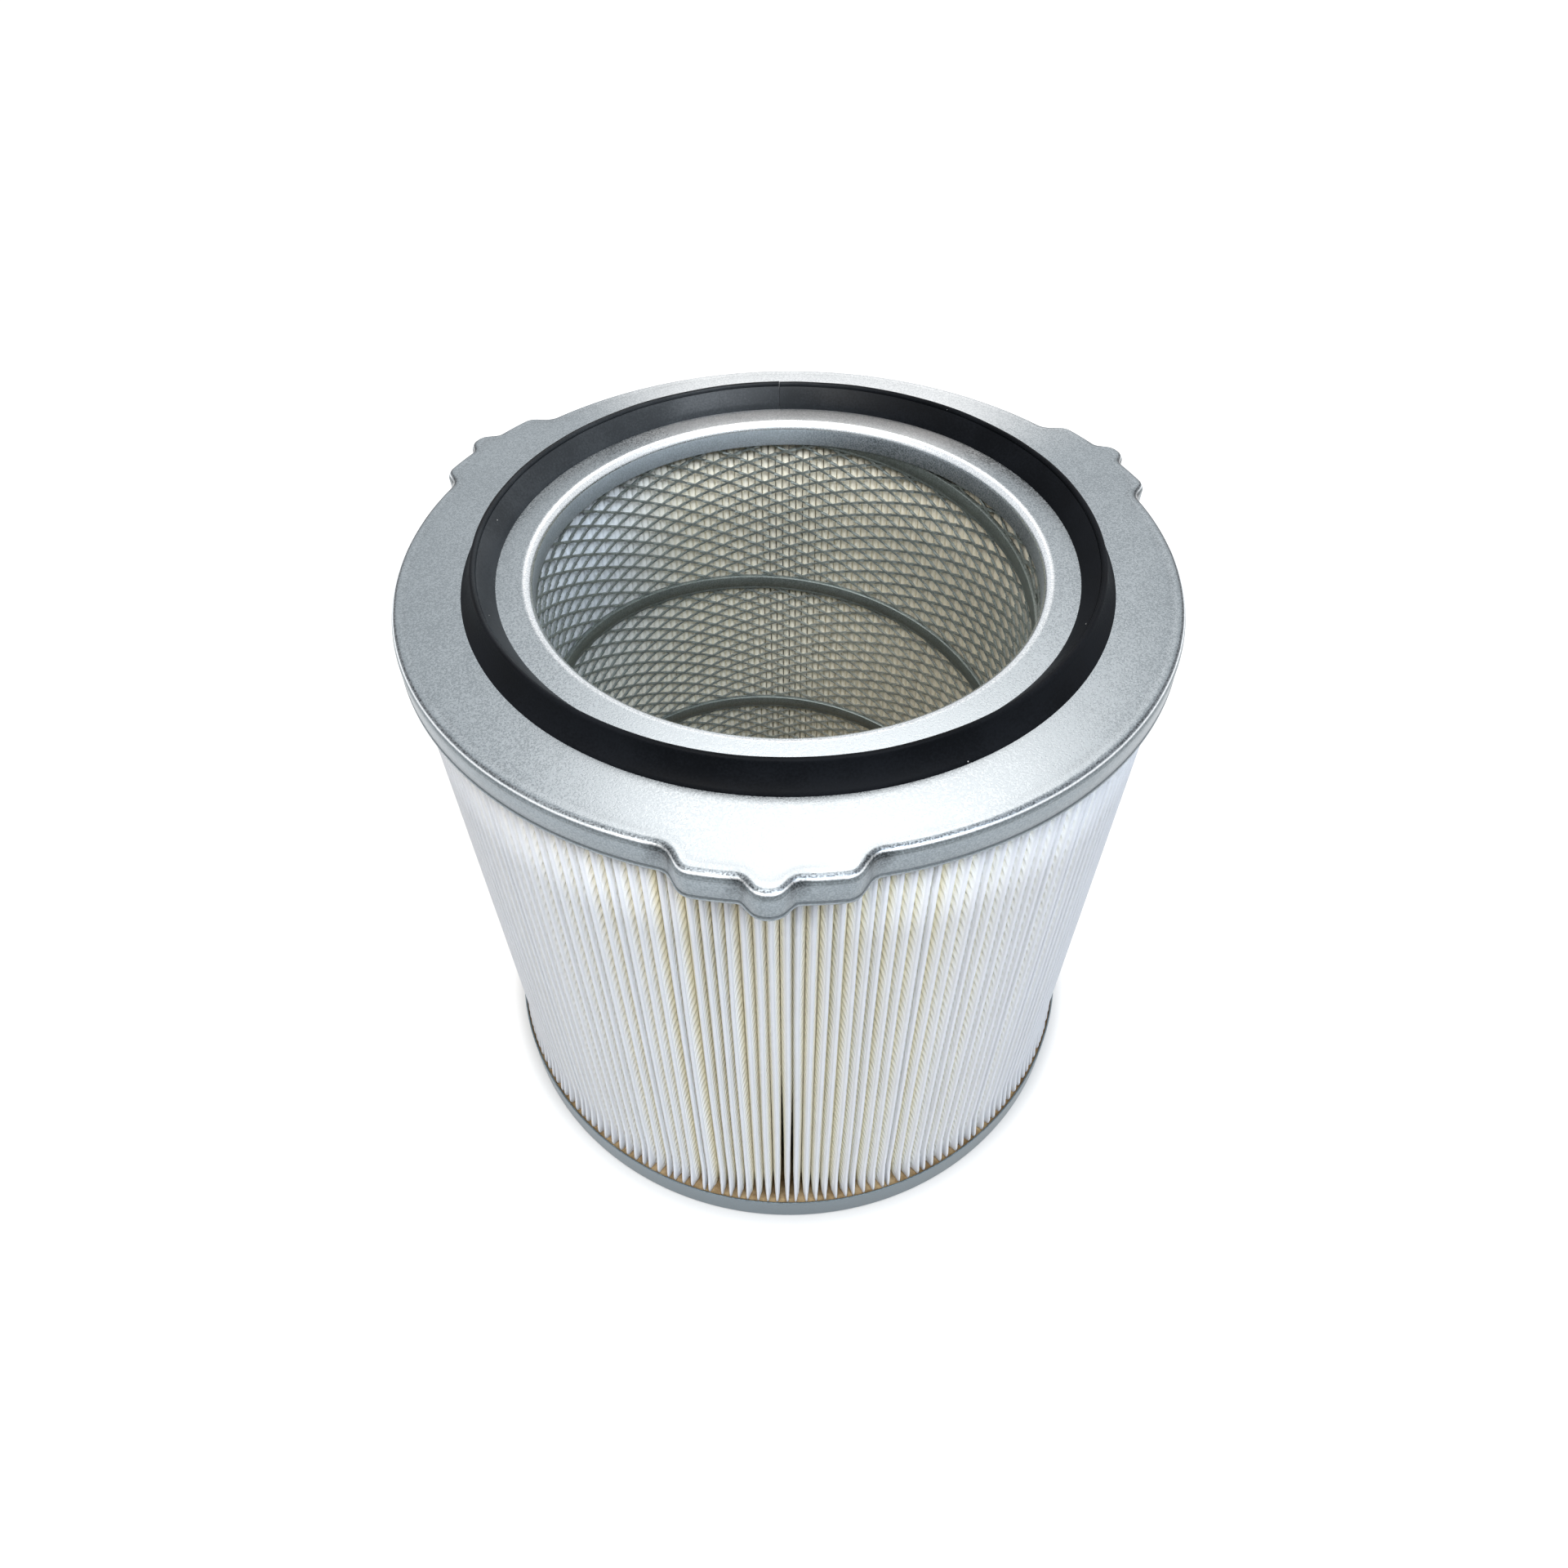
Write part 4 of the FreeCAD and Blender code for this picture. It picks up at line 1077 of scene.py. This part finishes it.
def drawLattice(tree, given):
    # a grid of points numbered by column and row
    lastColumn = minus(tree, given["Columns"], 1.0)
    lastRow = minus(tree, given["Rows"], 1.0)
    feeds = {"Size X": lastColumn, "Size Y": lastRow, "Vertices X": given["Columns"],
             "Vertices Y": given["Rows"]}
    grid = addNode(tree, "GeometryNodeMeshGrid", feeds).outputs["Mesh"]
    x, fromMiddle, _ = splitXYZ(tree, addNode(tree, "GeometryNodeInputPosition").outputs[0])
    column = calc(tree, "ROUND", plus(tree, x, times(tree, lastColumn, 0.5)))
    row = calc(tree, "ROUND", plus(tree, fromMiddle, times(tree, lastRow, 0.5)))

    # along and across the strip, then round the tube
    stagger = times(tree, calc(tree, "MODULO", row, 2.0), 0.5)
    along = times(tree, plus(tree, column, stagger), given["Cell length"])
    across = times(tree, fromMiddle, 0.5, given["Cell height"])
    cosine = calc(tree, "COSINE", given["Slope"])
    sine = calc(tree, "SINE", given["Slope"])
    arc = minus(tree, times(tree, along, cosine), times(tree, across, sine))
    angle = ratio(tree, arc, given["Radius"])
    height = plus(tree, times(tree, along, sine), times(tree, across, cosine), given["Strip start"])
    outside = calc(tree, "MAXIMUM", calc(tree, "LESS_THAN", height, given["Low end"]),
                   calc(tree, "GREATER_THAN", height, given["High end"]))
    kept = addNode(tree, "GeometryNodeDeleteGeometry", {"Geometry": grid, "Selection": outside}).outputs[0]

    # the points move to the tube, each with its angle kept, before the copies are set on them
    held = addNode(tree, "GeometryNodeCaptureAttribute")
    held.capture_items.new("FLOAT", "Angle")
    feedAll(tree, held, {"Geometry": kept, "Angle": angle})
    place = placeOnRing(tree, given["Radius"], angle, height)
    feeds = {"Geometry": held.outputs["Geometry"], "Position": place}
    onTube = addNode(tree, "GeometryNodeSetPosition", feeds).outputs[0]
    return copyRound(tree, onTube, given["Crossing"], held.outputs["Angle"])


def makeCoreMesh(material):
    low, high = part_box("inner_core")
    crossing = drawCrossing()
    turnsBelow = math.ceil((core["seamStart"] + core["seamPitch"] / 2) / core["seamPitch"])
    piece = shapeByNodes("coreMesh", drawLattice, {
        "Crossing": crossing,
        "Columns": core["columns"],
        "Rows": core["rows"],
        "Radius": core["radius"],
        "Cell length": core["cellLength"],
        "Cell height": core["cellHeight"],
        "Slope": core["slope"],
        "Strip start": core["seamStart"] + core["seamPitch"] * (0.5 - turnsBelow),
        "Low end": low.z + core["endMargin"],
        "High end": high.z - core["endMargin"],
        "Material": material,
    })
    bpy.data.objects.remove(crossing)
    return piece


def makeCoreSeam(material):
    # folded seam: a flat band that stands a little proud inside, with a thin lip along its lower edge
    low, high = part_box("inner_core")
    radius = core["radius"]
    half = core["seamWidth"] / 2
    inside = radius - core["wallHalf"] - core["seamStand"]
    outside = radius + core["wallHalf"] + core["seamStand"]
    profile = [(inside + 0.5 * mm, half), (inside + 0.12 * mm, half - 0.25 * mm), (inside, half - 0.8 * mm),
               (inside, 0.6 * mm - half + 1.2 * mm), (inside + 0.3 * mm, 0.6 * mm - half + 0.8 * mm),
               (inside + 0.1 * mm, 0.35 * mm - half + 0.3 * mm), (inside + 0.35 * mm, -half),
               (outside - 0.3 * mm, -half), (outside, 0.4 * mm - half), (outside, half - 0.4 * mm),
               (outside - 0.3 * mm, half)]
    rows = []
    first = (low.z - half - core["seamStart"]) / core["seamPitch"] * 360
    last = (high.z + half - core["seamStart"]) / core["seamPitch"] * 360
    count = int((last - first) / core["turnStep"])
    for i in range(count + 1):
        angle = math.radians(first + (last - first) * i / count)
        z = core["seamStart"] + core["seamPitch"] * angle / wholeTurn
        row = []
        for r, v in profile:
            a = angle - v * math.sin(core["slope"]) / radius
            height = min(max(z + v * math.cos(core["slope"]), low.z), high.z)
            row.append(onRing(r, a, height))
        rows.append(row)
    return finishMesh("coreSeam", skin(rows, closedRows=False, capEnds=True), material, 40.0)


# Materials
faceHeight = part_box("top_flange")[1].z
skirtTop = faceHeight - flange["skirtRound"]
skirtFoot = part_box("top_flange")[0].z
rollFoot = faceHeight - flange["boreRound"]
rim = (0.14, 0.2)             # radii of the flange's bend and skirt
collar = (0.1, 0.1125)
inCollar = (0.0, rollFoot + 0.6 * mm)


def belowFace(least, most):
    return faceHeight - least * mm, faceHeight - most * mm


flangeZones = (
    # painted reflection: the face is painted brighter at the back
    zone((faceHeight - 0.3 * mm, 0.4), (0.1, 0.2), 0.15 * mm, (0.6, 0.63, 0.65), (0.78, 0.81, 0.83),
         turns=(0.235, 0.15, 0.06)),
    # painted shade and highlight: the skirt painted darker, and the bend above it painted dull, then a bright
    # highlight line, then a dark strip
    zone((0.0, skirtTop + 0.2 * mm), rim, 0.3 * mm, (0.2, 0.23, 0.25), (0.28, 0.315, 0.34), roughness=0.34),
    zone((skirtTop + 0.1 * mm, faceHeight - 1.4 * mm), rim, 0.25 * mm, (0.12, 0.14, 0.15), (0.2, 0.23, 0.25),
         roughness=0.34),
    zone(belowFace(1.2, 0.72), rim, 0.12 * mm, (0.7, 0.74, 0.77), (0.95, 0.97, 1.0)),
    zone(belowFace(0.55, 0.13), rim, 0.1 * mm, (0.04, 0.045, 0.05), (0.22, 0.24, 0.26), roughness=0.42),
    # the collar, dulled by resin and darker at the right back, and a painted highlight on its roll
    zone(inCollar, collar, 0.35 * mm, (0.31, 0.36, 0.4), (0.44, 0.5, 0.55), metal=0.15, roughness=0.5),
    zone(inCollar, collar, 0.35 * mm, (0.1, 0.12, 0.135), (0.27, 0.3, 0.33), metal=0.2, roughness=0.5,
         turns=(0.12, 0.15, 0.07)),
    zone((rollFoot + 1.1 * mm, 0.4), (0.1, flange["bore"] + 3.3 * mm), 1.1 * mm, (0.66, 0.7, 0.74),
         (0.84, 0.88, 0.91), roughness=0.25),
)
# painted shade: a dark line in the groove near the skirt's foot: its height, half its width, its strength
skirtGrooveShade = ((skirtFoot + 1.5 * mm, 0.6 * mm, 0.55),)
# low in the tube, at the back and the right, more light comes through and it looks warmer
coreZones = (
    zone((0.0, 0.2), (0.1, 0.12), 0.035, (0.32, 0.335, 0.3), (0.48, 0.49, 0.44), metal=0.45, roughness=0.5,
         turns=(0.17, 0.16, 0.06)),
)
steel = makeSteel("galvanisedSheet", (0.255, 0.29, 0.315), (0.31, 0.35, 0.38), 0.3, 0.25,
                  corners=True, grooves=skirtGrooveShade, zones=flangeZones)
panSteel = makeSteel("panSheet", (0.13, 0.16, 0.18), (0.18, 0.22, 0.245), 0.36, 0.1)
coreSteel = makeSteel("coreMetal", (0.19, 0.22, 0.215), (0.3, 0.34, 0.33), 0.45, 0.0, 0.55, zones=coreZones)
# painted shade: the seam band is a darker copy of the core metal
seamShadedSteel = makeSteel("coreSeamShadedMetal", (0.12, 0.14, 0.135), (0.2, 0.23, 0.22), 0.45, 0.0, 0.55)
rubber = makeRubber()
media = makeMedia(sheetFolds["tipRadius"], sheetFolds["rootRadius"])
amber = makeResin()
print("materials made")

made = [
    (makeFlange(steel), ["top_flange"], "galvanised_sheet"),
    (makeGasket(rubber), ["gasket"], "black_rubber"),
    (makePan(panSteel), ["bottom_cap"], "pan_sheet"),
    (makeFootResin(amber), ["bottom_potting"], "potting"),
    (makeFilterSheet(media), ["filter_pleats"], "filter_media"),
    (makeCoreMesh(coreSteel), ["inner_core"], "core_metal"),
    (makeCoreSeam(seamShadedSteel), ["inner_core"], "core_metal"),
]
for piece, nodes, slot in made:
    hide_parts(*nodes)
    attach(piece, "root")
    triangles = sum(len(p.vertices) - 2 for p in piece.data.polygons)
    print("piece", piece.name, triangles, "triangles")
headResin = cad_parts["top_potting"]
headResin.data.materials.clear()
headResin.data.materials.append(amber)

# Floor and light
studio = {
    "floorSize": 12.0,
    "floorColour": 0.5,
    # glow of the floor, lower near the object as a painted contact shadow: from and to this distance it rises
    # by this much
    "glow": ((0.163, 0.176, 0.35), (0.3, 0.7, 0.4)),
    "glowInPaintedShadow": 0.2,
    "worldDiffuse": 0.15,
    "lampsTarget": (0, -0.05, 0.3),
    # name, azimuth from +Y towards +X, elevation, distance, width, height, power, colour
    "lamps": (
        ("backSoftbox", 3.0, 55.0, 2.4, 1.22, 0.9, 15.2, (1.0, 0.91, 0.85)),
        ("leftFrontSoftbox", 214.0, 56.0, 2.2, 1.1, 1.1, 30.0, (1.0, 0.96, 0.9)),
        ("rightFrontSoftbox", 146.0, 54.0, 2.2, 1.1, 1.1, 42.0, (0.83, 0.91, 1.0)),
        ("topSoftbox", 180.0, 80.0, 2.4, 1.0, 1.0, 22.0, (1.0, 1.0, 1.0)),
    ),
}


def makeFloor():
    mesh = bmesh.new()
    half = studio["floorSize"] / 2
    mesh.faces.new([mesh.verts.new((x * half, y * half, 0)) for x, y in ((-1, -1), (1, -1), (1, 1), (-1, 1))])
    floor = meshObject("floor", mesh)
    material, tree, shader, place = startMaterial("paleFloor", 0.0, 0.9)
    tone = studio["floorColour"]
    radius = placeGroup(tree, ringGroup, place)["Radius"]
    # painted contact shadow: the glow is least at the object's foot and rises outward
    glow = studio["glowInPaintedShadow"]
    for near, far, rise in studio["glow"]:
        glow = plus(tree, glow, spread(tree, radius, near, far, 0.0, rise))
    feedAll(tree, shader, {
        "Base Color": (tone, tone, tone, 1),
        "Specular IOR Level": 0.0,
        "Emission Color": (1, 1, 1, 1),
        "Emission Strength": times(tree, seenRays(tree), glow),
    })
    floor.data.materials.append(material)


def seenRays(tree):
    # 1 for rays that a viewer sees: straight, mirrored or through glass
    path = addNode(tree, "ShaderNodeLightPath").outputs
    either = calc(tree, "MAXIMUM", path["Is Camera Ray"], path["Is Glossy Ray"])
    return calc(tree, "MAXIMUM", either, path["Is Transmission Ray"])


def makeWorld():
    world = bpy.data.worlds.new("paleRoom")
    bpy.context.scene.world = world
    world.use_nodes = True
    tree = world.node_tree
    least = studio["worldDiffuse"]
    strength = plus(tree, least, times(tree, seenRays(tree), 1.0 - least))
    feedAll(tree, tree.nodes["Background"], {"Color": (1, 1, 1, 1), "Strength": strength})


def makeLamp(name, azimuth, elevation, distance, width, height, power, colour):
    lamp = bpy.data.lights.new(name, "AREA")
    lamp.shape = "RECTANGLE"
    lamp.size = width
    lamp.size_y = height
    lamp.energy = power
    lamp.color = colour
    holder = addObject(name, lamp)
    around = math.radians(azimuth)
    up = math.radians(elevation)
    away = Vector((math.sin(around) * math.cos(up), math.cos(around) * math.cos(up), math.sin(up)))
    holder.location = Vector(studio["lampsTarget"]) + away * distance
    holder.rotation_euler = (-away).to_track_quat("-Z", "Y").to_euler()


makeFloor()
makeWorld()
for lampRow in studio["lamps"]:
    makeLamp(*lampRow)
bpy.context.scene.view_settings.view_transform = "Standard"
print("stage set")
